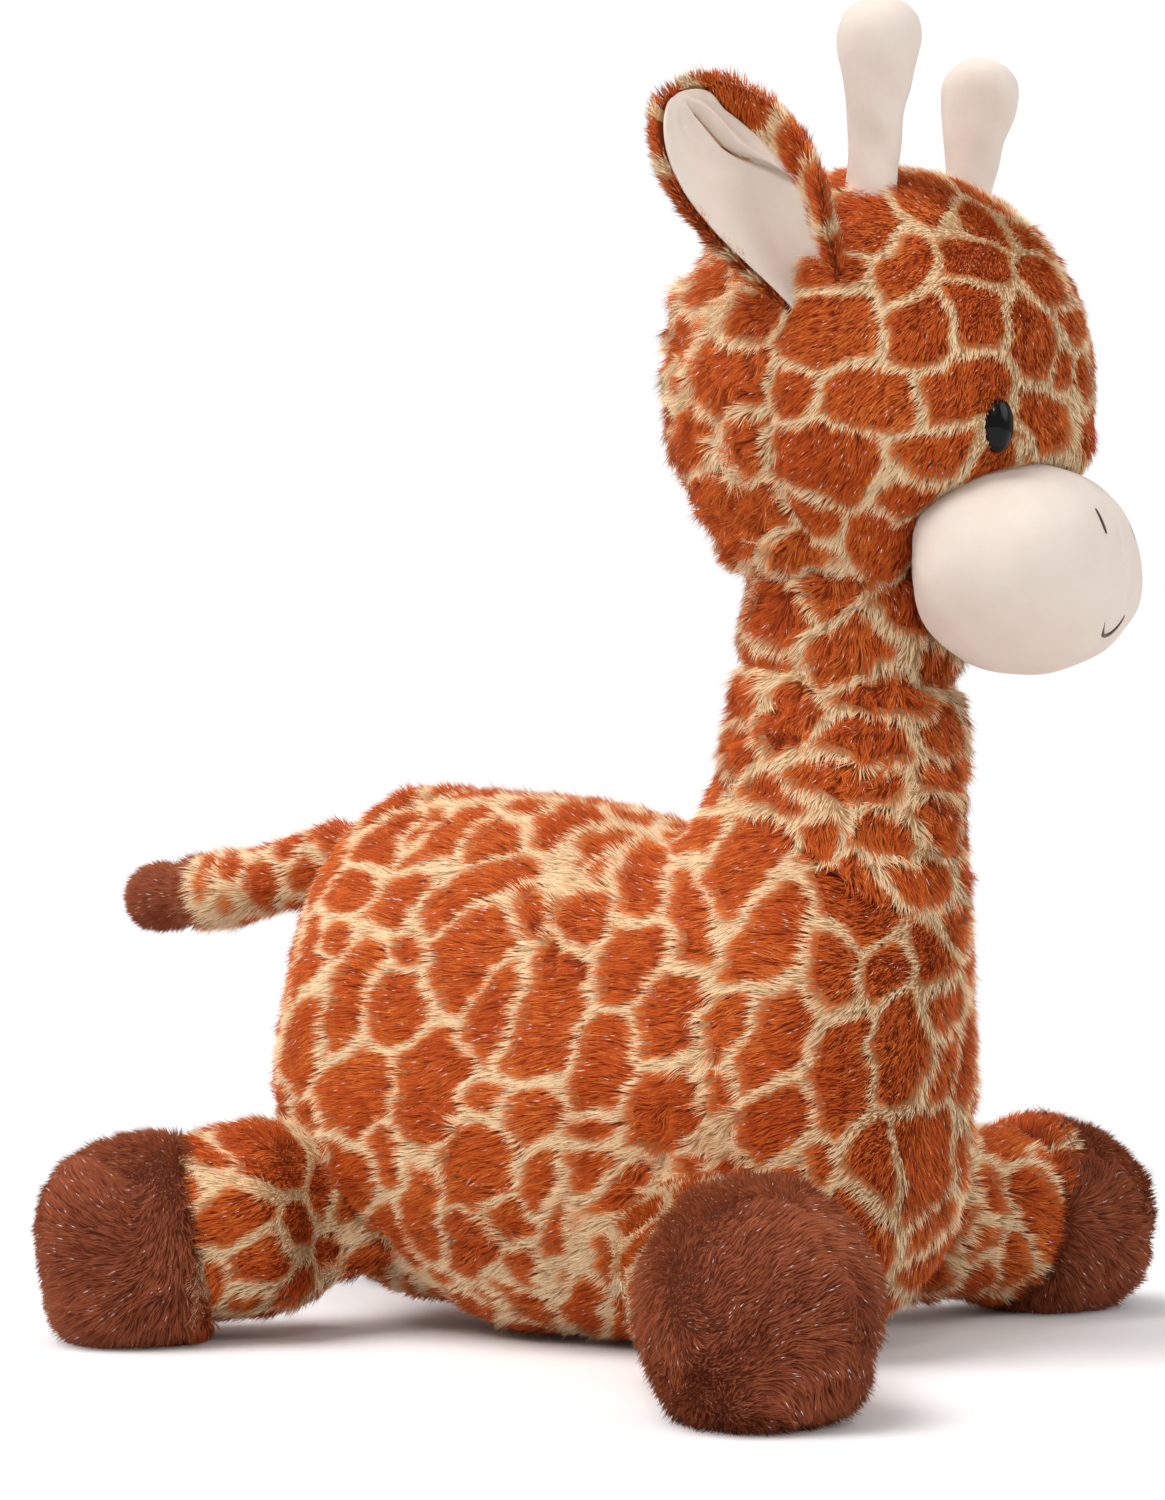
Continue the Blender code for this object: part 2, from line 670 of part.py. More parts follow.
def leg_aim(root, heading, length):
    """The way from a leg's root to its foot, whose middle stands at the foot's rest height."""
    rest = FOOT_RADIUS * flat_share(LIMB_SIDES, ROUND_POWER) - FLAT_DEPTH
    reach = length - FOOT_RADIUS
    drop = root[2] - rest
    return unit(heading * math.sqrt(reach**2 - drop**2) - UP * drop)


def sleeve_stations(length):
    """Seam, swell and the run to the foot's seam."""
    rows = []
    for share in SWELL_SHARES:
        ease = max(share, 0) ** 2 * (3 - 2 * max(share, 0))
        wide = LEG_SEAM_WIDTH / 2 + (LEG_RADIUS - LEG_SEAM_WIDTH / 2) * ease
        high = LEG_SEAM_HEIGHT / 2 + (LEG_RADIUS - LEG_SEAM_HEIGHT / 2) * ease
        rows.append((share * LEG_SWELL, wide, high))
    rows.append((length - FOOT_LENGTH, LEG_RADIUS, LEG_RADIUS))
    return rows


def foot_stations(length, inset):
    """From the foot's seam to its blunt end."""
    seam = length - FOOT_LENGTH
    rows = [(seam + SEAM_GAP, LEG_RADIUS + PILE_WALL / 2)]
    rows.append((seam + FOOT_LENGTH * FOOT_SEAM_SHARE, FOOT_RADIUS))
    full = length - FOOT_RADIUS
    for turn in np.array(FOOT_END_SHARES) * math.pi / 2:
        go = math.sin(turn)
        size = (1 - go**FOOT_POWER) ** (1 / FOOT_POWER)
        rows.append((full + go * (FOOT_RADIUS - inset), FOOT_RADIUS * size + inset * (1 - size)))
    return [(at, size, size) for at, size in rows]


def build_leg(word, root, heading, length, finishes, envelope):
    out = leg_aim(root, heading, length)
    stations = sleeve_stations(length)
    outer, inner = limb_rings(root, out, stations, 0), limb_rings(root, out, stations, PILE_WALL)
    sleeve = shell(f"leg_sleeve_{word}", outer, inner, finishes["patterned"])
    outer = limb_rings(root, out, foot_stations(length, 0), 0, settle=True)
    inner = limb_rings(root, out, foot_stations(length, PILE_WALL), PILE_WALL)
    tips = (root + out * length, root + out * (length - PILE_WALL))
    shell(f"foot_{word}", outer[::-1], inner[::-1], finishes["brown"], tips)
    inset = PILE_WALL + FILL_GAP
    filled = stations + foot_stations(length, inset)[1:]
    stuffing = chain(f"leg_stuffing_{word}", limb_rings(root, out, filled, inset), finishes["fibre"])
    sweep = swung(envelope, root, UP, (-LEG_SWING, 0, LEG_SWING))
    cut(sleeve, sweep, "MANIFOLD")
    cut(stuffing, sweep, "MANIFOLD")
    hang(f"leg_{word}_hinge", root, (f"leg_sleeve_{word}", f"foot_{word}", f"leg_stuffing_{word}"))


def build_legs(finishes, envelope):
    front = FORWARD * (CHEST_REACH - FRONT_ROOT_SETBACK) + UP * FRONT_ROOT_HEIGHT
    hind = FORWARD * (RUMP_TIP + HIND_ROOT_ADVANCE) + UP * HIND_ROOT_HEIGHT
    for side, word, splay in ((-1, "front_right", FRONT_RIGHT_SPLAY), (1, "front_left", FRONT_LEFT_SPLAY)):
        heading = SIDE * side * math.sin(splay) + FORWARD * math.cos(splay)
        root = front + SIDE * side * (BODY_WIDTH / 2 - FRONT_ROOT_SINK)
        build_leg(word, root, heading, FRONT_LEG_LENGTH, finishes, envelope)
    for side, word in ((-1, "hind_right"), (1, "hind_left")):
        heading = SIDE * side * math.sin(HIND_SPLAY) - FORWARD * math.cos(HIND_SPLAY)
        root = hind + SIDE * side * (BODY_WIDTH / 2 - HIND_ROOT_SINK)
        build_leg(word, root, heading, HIND_LEG_LENGTH, finishes, envelope)


def tail_tip_stations(inset):
    rows = [(TAIL_LENGTH - TAIL_TIP_LENGTH + SEAM_GAP, TAIL_RADIUS)]
    full = TAIL_LENGTH - TAIL_TIP_RADIUS
    for turn in np.array(TAIL_END_SHARES) * math.pi / 2:
        size = TAIL_TIP_RADIUS * math.cos(turn) + inset * (1 - math.cos(turn))
        rows.append((full + math.sin(turn) * (TAIL_TIP_RADIUS - inset), size))
    return [(at, size, size) for at, size in rows]


def build_tail(finishes, envelope):
    root = FORWARD * (RUMP_TIP + TAIL_ROOT_ADVANCE) + UP * (BACK_HEIGHT - TAIL_ROOT_DROP)
    out = FORWARD * -math.cos(TAIL_DROOP) - UP * math.sin(TAIL_DROOP)
    stations = [
        (-TAIL_SWELL, TAIL_RADIUS, TAIL_SEAM_HEIGHT / 2),
        (0, TAIL_RADIUS, TAIL_SEAM_HEIGHT / 2),
        (TAIL_SWELL, TAIL_RADIUS, TAIL_RADIUS),
        (TAIL_LENGTH - TAIL_TIP_LENGTH, TAIL_RADIUS, TAIL_RADIUS),
    ]
    outer = limb_rings(root, out, stations, 0, SMALL_SIDES)
    inner = limb_rings(root, out, stations, PILE_WALL, SMALL_SIDES)
    sleeve = shell("tail_sleeve", outer, inner, finishes["patterned"])
    outer = limb_rings(root, out, tail_tip_stations(0), 0, SMALL_SIDES)
    inner = limb_rings(root, out, tail_tip_stations(PILE_WALL), PILE_WALL, SMALL_SIDES)
    tips = (root + out * TAIL_LENGTH, root + out * (TAIL_LENGTH - PILE_WALL))
    shell("tail_tip", outer[::-1], inner[::-1], finishes["brown"], tips)
    inset = PILE_WALL + FILL_GAP
    rings = limb_rings(root, out, stations + tail_tip_stations(inset)[1:], inset, SMALL_SIDES)
    stuffing = chain("tail_stuffing", rings, finishes["fibre"])
    sweep = swung(envelope, root, SIDE, (-TAIL_SWING, 0, TAIL_SWING))
    cut(sleeve, sweep, "MANIFOLD")
    cut(stuffing, sweep, "MANIFOLD")
    hang("tail_hinge", root, ("tail_sleeve", "tail_tip", "tail_stuffing"))


def build_horn(side, word, finishes, envelope):
    reach, height = HEAD_FRONT_REACH - HORN_ROOT_SETBACK, HEAD_TOP_HEIGHT - HORN_ROOT_DROP
    root = SIDE * side * HORN_ROOT_SIDE + FORWARD * reach + UP * height
    out = unit(SIDE * side * math.tan(HORN_LEAN_SIDE) + FORWARD * math.tan(HORN_LEAN_FORWARD) + UP)
    across = unit(np.cross(FORWARD, out))
    fore = np.cross(out, across)

    def rings(inset):
        rows = [(at, (HORN_STALK_RADIUS - inset) * size) for at, size in STALK_SHARES]
        rows += [(at, (HORN_BULB_RADIUS - inset) * size) for at, size in BULB_SHARES]
        made = []
        for at, radius in rows:
            centre = root + out * at * (HORN_LENGTH - inset)
            made.append(ring(centre, across, fore, radius, radius, SMALL_SIDES, ROUND_POWER))
        return made[::-1]

    def tip(inset):
        return root + out * (HORN_LENGTH - inset)

    tips = (tip(0), tip(VELOUR_WALL))
    skin = shell(f"horn_skin_{word}", rings(0), rings(VELOUR_WALL), finishes["cream"], tips)
    inset = VELOUR_WALL + FILL_GAP
    fill = rings(inset)
    ends = (tip(inset), fill[-1].mean(axis=0))
    stuffing = chain(f"horn_stuffing_{word}", fill, finishes["fibre"], poles=ends)
    sweep = swung(envelope, root, SIDE, (-HORN_SWING, 0, HORN_SWING))
    cut(skin, sweep, "MANIFOLD")
    cut(stuffing, sweep, "MANIFOLD")
    hang(f"horn_{word}_hinge", root, (f"horn_skin_{word}", f"horn_stuffing_{word}"))


def ear_frame(side):
    """Root point, the seam's direction, the way out to the tip, and the way the lining faces."""
    reach, height = HEAD_FRONT_REACH - EAR_ROOT_SETBACK, HEAD_TOP_HEIGHT - EAR_ROOT_DROP
    root = SIDE * side * EAR_ROOT_SIDE + FORWARD * reach + UP * height
    level = SIDE * side * math.sin(EAR_TURN) - FORWARD * math.cos(EAR_TURN)
    out = level * math.cos(EAR_RISE) + UP * math.sin(EAR_RISE)
    face = SIDE * side * math.sin(EAR_FACE_TURN) + FORWARD * math.cos(EAR_FACE_TURN)
    face = unit(face - out * (face @ out))
    across = np.cross(out, face) * side
    return root, out, across, face


def ear_point(side, along, across_share, inset, lift):
    """A point of the ear's cupped leaf: along from root to tip, across from -1 to 1 over its width."""
    root, out, across, face = ear_frame(side)
    if along < EAR_WIDEST_SHARE:
        t = along / EAR_WIDEST_SHARE
        half = EAR_ROOT_WIDTH / 2 + (EAR_WIDTH - EAR_ROOT_WIDTH) / 2 * math.sin(t * math.pi / 2)
    else:
        t = (along - EAR_WIDEST_SHARE) / (1 - EAR_WIDEST_SHARE)
        half = EAR_WIDTH / 2 * math.sqrt(1 - t**EAR_TIP_POWER)
    half = max(half - inset, EAR_WIDTH * EAR_TIP_SHARE)
    cup = EAR_CUP * across_share**2 * half / (EAR_WIDTH / 2)
    return root + out * along * (EAR_LENGTH - inset) + across * across_share * half + face * (cup + lift)


def ear_sheet(name, side, inset, low, high, finish):
    """A closed sheet between two lifts off the ear's leaf."""
    rise = np.sin(np.linspace(0, math.pi / 2, EAR_ROWS)) * EAR_LAST_ROW_SHARE
    alongs = np.concatenate([[-EAR_ROOT_DEPTH / EAR_LENGTH], rise])
    shares = np.linspace(-1, 1, EAR_COLUMNS)
    rows, columns = len(alongs), len(shares)
    points = [ear_point(side, a, s, inset, lift) for lift in (low, high) for a in alongs for s in shares]
    layer = rows * columns

    def at(sheet, row, column):
        return sheet * layer + row * columns + column

    faces = []
    for r in range(rows - 1):
        for c in range(columns - 1):
            faces.append((at(0, r, c), at(0, r + 1, c), at(0, r + 1, c + 1), at(0, r, c + 1)))
            faces.append((at(1, r, c), at(1, r, c + 1), at(1, r + 1, c + 1), at(1, r + 1, c)))
    for r in range(rows - 1):
        for c in (0, columns - 1):
            faces.append((at(0, r, c), at(1, r, c), at(1, r + 1, c), at(0, r + 1, c)))
    for c in range(columns - 1):
        for r in (0, rows - 1):
            faces.append((at(0, r, c), at(1, r, c), at(1, r, c + 1), at(0, r, c + 1)))
    return add_object(name, points, faces, finish)


def build_ear(side, word, finishes, envelope):
    root, out, across, face = ear_frame(side)
    back = ear_sheet(f"ear_back_{word}", side, 0, -PILE_WALL, 0, finishes["patterned"])
    low, high = SEAM_GAP, SEAM_GAP + VELOUR_WALL
    lining = ear_sheet(f"ear_lining_{word}", side, EAR_LINING_MARGIN, low, high, finishes["cream"])
    sweep = swung(envelope, root, across, (-EAR_SWING, 0, EAR_SWING))
    cut(back, sweep, "MANIFOLD")
    cut(lining, sweep, "MANIFOLD")
    hang(f"ear_{word}_hinge", root, (f"ear_back_{word}", f"ear_lining_{word}"))


def hang(name, place, pieces):
    """An empty on a joint's axis that carries its pieces, which stay where they are."""
    hinge = bpy.data.objects.new(name, None)
    hinge.location = place
    bpy.context.scene.collection.objects.link(hinge)
    for piece in pieces:
        child = bpy.data.objects[piece]
        child.parent = hinge
        child.matrix_parent_inverse = Matrix.Translation(Vector(place)).inverted()
    return hinge


def main():
    for obj in list(bpy.data.objects):
        bpy.data.objects.remove(obj, do_unlink=True)
    finishes = {
        "patterned": material("patterned_pile", PATCH_ORANGE, 0.9),
        "brown": material("brown_pile", FOOT_BROWN, 0.9),
        "cream": material("cream_velour", CREAM, 0.8),
        "fibre": material("fibre_fill", FIBRE_WHITE, 0.9),
        "eye": material("eye_plastic", EYE_BLACK, 0.08),
        "thread": material("stitch_thread", THREAD_BROWN, 0.6),
        "washer": material("washer_plastic", WASHER_WHITE, 0.4),
    }
    torso = torso_cutter(finishes["fibre"])
    head = head_cutter(finishes["fibre"])
    build_torso_and_neck(finishes["patterned"], finishes["fibre"])
    build_head(finishes, head)
    build_legs(finishes, torso)
    build_tail(finishes, torso)
    face = ["head_skin", "head_stuffing", "snout_skin", "snout_stuffing", "smile_stitch"]
    for side, word in ((-1, "right"), (1, "left")):
        build_horn(side, word, finishes, head)
        build_ear(side, word, finishes, head)
        face += [f"nostril_stitch_{word}", f"eye_{word}", f"eye_washer_{word}"]
        face += [f"horn_{word}_hinge", f"ear_{word}_hinge"]
    hang("head_nod_pivot", nod_pivot(), face)


main()
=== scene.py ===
"""A plush giraffe lying on its belly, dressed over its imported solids: stuffed skins of printed pile,
cream velour snout, horns and ear linings, brown feet and a tail. Lengths are in metres, it faces -Y.

Every skin is a grid of points worked out as a whole array, and a pile is thousands of short leaf-shaped
strands that stand on such a grid and lie the way the fabric was brushed.
"""

import math

import bpy
import numpy as np
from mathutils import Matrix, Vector


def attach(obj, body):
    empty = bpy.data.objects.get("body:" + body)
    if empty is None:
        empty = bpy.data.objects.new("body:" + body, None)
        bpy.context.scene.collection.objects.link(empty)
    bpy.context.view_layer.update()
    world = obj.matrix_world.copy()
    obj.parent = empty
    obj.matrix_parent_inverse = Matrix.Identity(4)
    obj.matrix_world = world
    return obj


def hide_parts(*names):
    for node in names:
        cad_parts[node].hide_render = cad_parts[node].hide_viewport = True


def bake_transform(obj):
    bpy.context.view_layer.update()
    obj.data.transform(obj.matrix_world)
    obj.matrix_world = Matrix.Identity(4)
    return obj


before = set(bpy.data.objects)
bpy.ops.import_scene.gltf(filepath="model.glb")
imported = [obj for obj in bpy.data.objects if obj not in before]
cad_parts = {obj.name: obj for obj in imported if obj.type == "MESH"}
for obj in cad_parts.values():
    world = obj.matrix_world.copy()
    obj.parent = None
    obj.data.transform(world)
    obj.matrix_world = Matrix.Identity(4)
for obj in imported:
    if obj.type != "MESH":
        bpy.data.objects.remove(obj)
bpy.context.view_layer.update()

SIDE, FORWARD, UP = np.array([[1.0, 0, 0], [0, -1.0, 0], [0, 0, 1.0]])
SIDES = (-1, "right"), (1, "left")
FULL_TURN = 2 * math.pi
WHITE = (1, 1, 1, 1)

# Sizes of the sewn body, the same as the solids have. A place is given forward, up and across

BODY_LENGTH, BACK_HEIGHT, BODY_WIDTH, BODY_POWER = 0.321, 0.243, 0.184, 2.2
CHEST_REACH = 0.193
RUMP_TIP = CHEST_REACH - BODY_LENGTH
RUMP_TIP_HEIGHT, RUMP_POWER = 0.122, 2.3
NOD_PIVOT = np.array([0, -0.152, 0.385])
NOD_BALL_RADIUS, NOD_BALL_EDGE = 0.070, math.radians(57)
NECK_WIDTH, NECK_DEPTH, NAPE_HEIGHT, THROAT_HEIGHT = 0.088, 0.090, 0.339, 0.334
NECK_STATIONS = (0.33, 0.66, 1.0, 1.25)
HEAD_WIDTH, HEAD_DEPTH, HEAD_FRONT, HEAD_TOP = 0.180, 0.180, 0.250, 0.509
HEAD_PANEL_SEAM = -0.152  # the Y where the face panel is sewn to the back of the head
SNOUT_WIDTH, SNOUT_HEIGHT, SNOUT_MIDDLE = 0.130, 0.087, 0.333
SNOUT_SEAM, SNOUT_TIP = 0.204, 0.270
LEG_RADIUS, FOOT_RADIUS, FOOT_LENGTH, FOOT_POWER = 0.0405, 0.047, 0.074, 2.5
FOOT_REST = 0.0449  # height of a resting foot's middle
# Half sizes of a sleeve's flat seam, and the length over which it swells to the round limb
SLEEVE_SEAM_WIDE, SLEEVE_SEAM_HIGH, SLEEVE_SWELL = 0.014, 0.033, 0.030
TAIL_LENGTH, TAIL_RADIUS, TAIL_TIP_LENGTH, TAIL_TIP_RADIUS = 0.143, 0.0135, 0.036, 0.0165
TAIL_SEAM, TAIL_SEAM_HIGH = TAIL_LENGTH - TAIL_TIP_LENGTH, 0.008
TAIL_PLACE, TAIL_DROOP = (-0.102, 0.208), math.radians(6)
HORN_PLACE, HORN_LENGTH = (0.179, 0.496, 0.049), 0.072
HORN_LEAN, HORN_SPREAD = math.radians(6), math.radians(5)
EAR_PLACE = (0.157, 0.447, 0.079)
EAR_TURN, EAR_RISE, EAR_FACE_TURN = np.radians([58, 51, 26])
EAR_LENGTH, EAR_HALF, EAR_ROOT_HALF = 0.092, 0.035, 0.022
EAR_WIDEST = 0.45  # where the ear is widest, as a share of its length
EYES = [np.array([side * 0.044, -0.2318, 0.3877]) for side, _ in SIDES]
EYE_HALF_WIDE, EYE_HALF_HIGH, EYE_DEPTH = 0.0074, 0.0116, 0.0056
NOSTRIL_ACROSS, NOSTRIL_RISE, NOSTRIL_HALF_HIGH = 0.017, 0.016, 0.0052
SMILE_RISE, SMILE_DEPTH, SMILE_HALF_WIDE = -0.0205, 0.0090, 0.0115

# Back place and height, belly place and height, and width, as shares of the body's length, height, width
TORSO_SHARES = (
    (0.250, 0.972, 0.250, 0.054, 0.965),
    (0.330, 0.995, 0.330, 0.012, 0.990),
    (0.400, 1.000, 0.372, 0.000, 1.000),
    (0.480, 0.985, 0.500, 0.000, 1.000),
    (0.550, 0.950, 0.610, 0.000, 0.975),
    (0.600, 0.927, 0.710, 0.000, 0.945),
    (0.635, 0.932, 0.840, 0.030, 0.905),
    (0.656, 0.960, 0.948, 0.160, 0.835),
    (0.672, 1.000, 0.992, 0.410, 0.745),
    (0.684, 1.045, 1.000, 0.763, 0.640),
)
# Height above the ball's edge, front, back and width as shares
HEAD_SHARES = (
    (0.07, 0.78, 0.78, 0.80), (0.16, 0.90, 0.89, 0.90), (0.28, 0.98, 0.96, 0.97), (0.44, 1.00, 1.00, 1.00),
    (0.61, 0.96, 0.955, 0.96), (0.76, 0.82, 0.81, 0.84), (0.88, 0.60, 0.60, 0.64), (0.96, 0.34, 0.34, 0.38),
)
# Reach from the seam, half height and half width as shares
SNOUT_SHARES = (
    (-0.25, 0.50, 0.44), (-0.12, 0.80, 0.75), (0.0, 0.92, 0.905), (0.13, 0.98, 0.975), (0.30, 1.0, 1.0),
    (0.50, 0.98, 0.98), (0.70, 0.88, 0.885), (0.86, 0.675, 0.69), (0.96, 0.39, 0.40),
)
# Reach as a share of the horn's length, and radius
HORN_PROFILE = (
    (-0.16, 0.0112), (0.0, 0.0108), (0.20, 0.0110), (0.40, 0.0124), (0.56, 0.0148), (0.70, 0.0169),
    (0.80, 0.0173), (0.88, 0.0158), (0.945, 0.0118), (0.985, 0.0062), (1.0, 0.0),
)
# Side, root forward, up and across, length, splay in degrees, and 1 for a leg that points ahead
LEG_ROWS = {
    "front_right": (-1, 0.108, 0.060, 0.076, 0.168, 50, 1),
    "front_left": (1, 0.108, 0.060, 0.076, 0.168, 63, 1),
    "hind_right": (-1, -0.080, 0.062, 0.064, 0.134, 41, -1),
    "hind_left": (1, -0.080, 0.062, 0.064, 0.134, 41, -1),
}

# Look of the sewn toy

BODY_COLUMNS = 150
HEAD_END, LIMB_END = 0.996, 0.995  # the share of its length where a skin's last row lies
# Middle, size and height of the hills on the back
BACK_SWELLS = ((0, 0.078, 0.222), 0.048, 0.012), ((0, -0.015, 0.243), 0.040, -0.003)
NECK_FOLD_HEIGHT, NECK_FOLD_SLOPE, NECK_FOLD_WIDTH, NECK_FOLD_DEPTH = 0.292, 0.12, 0.006, 0.0040
TAIL_LIFT = 0.009  # how far the tail's cover rises at its root
# How far the top of each sleeve sinks, and how far the torso's pile runs on under a sleeve
SLEEVE_SINKS = {"front_right": 0.014, "front_left": 0.004, "hind_right": 0.0, "hind_left": 0.0}
SLEEVE_OVERLAP = 0.0028
# How far each foot's seam leans from square to its leg, as a slope
SEAM_TILTS = {"front_right": 0.0, "front_left": -0.30, "hind_right": 0.22, "hind_left": 0.22}

PILE_LENGTH, NECK_PILE_LENGTH, FOOT_PILE_LENGTH = 0.0088, 0.0092, 0.0082
TAIL_TIP_PILE_LENGTH, EAR_PILE_LENGTH = 0.0075, 0.0072
PILE_FLOOR = 0.0003  # no strand reaches below this height
TUFT_SIZE = 0.006
TUFT_MIX = np.array([[12.99, 78.23, 37.72], [39.35, 11.14, 83.16], [73.16, 52.24, 9.15]])
LEAF_CORNERS = np.array([0, 1, 2, 1, 3, 2])
LEAF_SPOTS = np.array([[0.1, 0.5], [0.5, 0.1], [0.5, 0.9], [0.9, 0.5]])  # its corners in a chart's cell
# How many strands each skin gets, before those under other pieces are left out
STRANDS = {"torso": 270000, "neck": 60000, "head": 185000, "sleeve": 26000, "foot": 27000,
           "tail": 13000, "tail_tip": 9000, "ear": 30000}
# The torso's pile from back to front, each piece with its range forward
TORSO_PILES = (
    ("torso_pile_rump", -1, -0.022), ("torso_pile_flank", -0.022, 0.075), ("torso_pile_chest", 0.075, 1),
)

FLOOR_HALF = 6
SOFT_BOXES = ((-0.9, 0.6, 1.85), 7.1), ((-1.7, -1.0, 1.65), 0.3), ((0.4, -2.2, 1.35), 1.9)
SKY_LEVEL = 0.48
CAMERA_PLACE, CAMERA_RISE, CAMERA_TURN = (-1.2057, -0.7079, 0.1993), 2.5696, -60

# Patches of the print as it was cut: each one's place, half length and half width, in millimetres, and
# how far its long way leans, in degrees, from the way that its skin's print runs
BODY_PATCHES = (
    (-26, 13, 238, 11, 4, -57), (-43, -34, 228, 21, 12, -42), (-45, 37, 225, 14, 10, -31),
    (-56, -4, 222, 16, 13, -65), (-73, -7, 201, 26, 9, -61), (-58, -41, 210, 9, 5, -12),
    (-56, -56, 207, 9, 6, -9), (-35, -52, 225, 12, 4, -18), (-52, -76, 205, 25, 9, 18),
    (-71, 31, 199, 20, 9, -41), (-65, 69, 198, 16, 15, -35), (-78, 67, 179, 12, 8, 63),
    (-84, 22, 172, 8, 7, 36), (-85, -7, 169, 20, 15, -35), (-76, -33, 188, 9, 7, 30),
    (-72, -58, 185, 13, 10, 34), (-77, -82, 169, 16, 13, -22), (-89, -24, 150, 20, 10, -24),
    (-87, -49, 146, 24, 14, -10), (-87, 53, 149, 24, 10, -20), (-88, 28, 147, 16, 14, -65),
    (-60, 102, 164, 17, 7, -16), (-80, 84, 132, 23, 11, -27), (-85, 51, 110, 19, 15, -46),
    (-92, 8, 113, 22, 14, -19), (-93, -24, 112, 11, 7, 83), (-92, -44, 107, 14, 9, -68),
    (-86, -74, 125, 21, 12, -8), (-87, -72, 100, 10, 9, -46), (-80, -102, 147, 19, 11, -8),
    (-83, -100, 109, 18, 12, -36), (-86, 32, 81, 14, 10, -1), (-89, -13, 82, 17, 12, -79),
    (-77, 83, 97, 12, 9, -41), (-79, 22, 59, 24, 11, -17), (-86, -45, 77, 11, 8, -22),
    (-85, -68, 87, 15, 8, -38), (-80, -77, 70, 21, 9, -50), (-79, -26, 57, 10, 8, -21),
    (-72, 0, 44, 17, 11, -25), (-78, -48, 57, 16, 6, -16), (-67, -23, 37, 13, 8, -27),
    (-76, 61, 68, 19, 15, -36), (-52, 51, 36, 12, 8, 84), (-58, 23, 29, 12, 7, -77),
    (-58, -1, 24, 11, 6, 80), (-64, -42, 32, 12, 6, -27), (-65, -105, 191, 23, 8, 15),
    (-74, -128, 145, 13, 9, -34), (-70, -145, 136, 19, 12, -24), (-78, -125, 118, 9, 7, 11),
    (-66, -143, 182, 21, 12, -10), (-59, -131, 217, 24, 16, -28), (-55, -156, 220, 12, 9, 29),
    (-47, -169, 197, 17, 14, 71), (-58, -167, 169, 16, 8, 27), (-40, -181, 165, 13, 8, -17),
    (-17, -193, 173, 15, 10, 77), (-25, -187, 207, 20, 11, -36), (-55, -170, 122, 22, 11, 6),
    (-29, -186, 131, 20, 13, 8), (16, -190, 129, 21, 12, -34), (-72, -144, 100, 18, 12, -41),
    (-44, -179, 88, 18, 10, -20), (-10, -185, 90, 22, 20, 33), (-62, -162, 86, 10, 6, -14),
    (-76, -116, 87, 12, 7, -51), (-1, -184, 61, 18, 9, 26), (21, -187, 87, 15, 8, 87),
    (-40, -171, 262, 22, 12, -40), (-49, -141, 274, 18, 13, 29), (-32, -179, 282, 21, 12, -32),
    (-43, -114, 258, 18, 11, -5), (-45, -165, 247, 23, 12, -49), (-54, -138, 238, 18, 10, 76),
    (-11, -193, 268, 19, 12, 15), (-8, -193, 249, 19, 9, -4), (-10, -192, 229, 20, 12, -11),
    (-34, -182, 220, 18, 11, -47), (-45, -99, 225, 20, 11, 49), (-37, -124, 298, 24, 9, -8),
)
HEAD_PATCHES = (
    (-66, -185, 475, 18, 15, -82), (-41, -200, 487, 21, 14, 81), (-6, -211, 490, 18, 10, 68),
    (-69, -205, 453, 15, 10, 66), (-46, -226, 457, 14, 12, -19), (-82, -177, 451, 14, 8, -10),
    (-86, -175, 427, 18, 13, -7), (-71, -212, 426, 13, 10, 68), (-52, -230, 434, 14, 12, -83),
    (-30, -243, 426, 16, 13, -73), (-14, -243, 453, 17, 11, 5), (-88, -159, 401, 11, 9, 87),
    (-79, -194, 399, 16, 11, -2), (-58, -228, 401, 17, 11, 12), (11, -248, 416, 13, 8, -71),
    (-13, -244, 394, 22, 11, -19), (-80, -172, 373, 21, 13, -14), (-62, -214, 375, 19, 9, 18),
    (-24, -237, 378, 13, 4, -13), (-65, -161, 354, 13, 9, -65), (-44, -184, 346, 16, 13, -77),
    (-46, -210, 359, 10, 6, 82), (-85, -131, 412, 18, 15, -18), (-64, -103, 389, 22, 12, 4),
    (-78, -135, 382, 15, 11, 61), (-56, -115, 362, 29, 17, 10), (-50, -148, 339, 14, 9, -4),
    (-22, -165, 322, 24, 8, -40), (-30, -119, 332, 12, 8, 36), (-62, -94, 414, 15, 6, 5),
)
LEG_PATCHES = {
    "hind_right": (
        (-100, 87, 87, 20, 15, -86), (-116, 111, 85, 18, 8, -72), (-127, 112, 78, 8, 3, -85),
        (-123, 87, 58, 16, 9, 19), (-111, 80, 38, 13, 11, 34), (-120, 101, 25, 16, 5, -88),
        (-77, 74, 64, 11, 10, 52), (-74, 74, 37, 11, 10, 77),
    ),
    "front_left": (
        (139, -160, 85, 36, 13, 33), (104, -165, 64, 15, 10, -60), (127, -180, 50, 27, 13, -42),
        (112, -147, 19, 18, 10, -80), (118, -167, 29, 15, 9, -67),
    ),
    "front_right": ((-146, -117, 56, 24, 8, 40),),
}
TAIL_PATCHES = (
    (-8, 189, 210, 22, 7, -54), (-12, 176, 194, 9, 6, 42), (-12, 153, 201, 13, 11, 29),
)


def unit(vectors):
    """Each vector over its own length."""
    return vectors / np.maximum(np.linalg.norm(vectors, axis=-1, keepdims=True), 1e-12)


def tangent(vectors, out):
    """The part of each vector that lies in the surface, at unit length."""
    return unit(vectors - out * np.sum(vectors * out, axis=-1, keepdims=True))


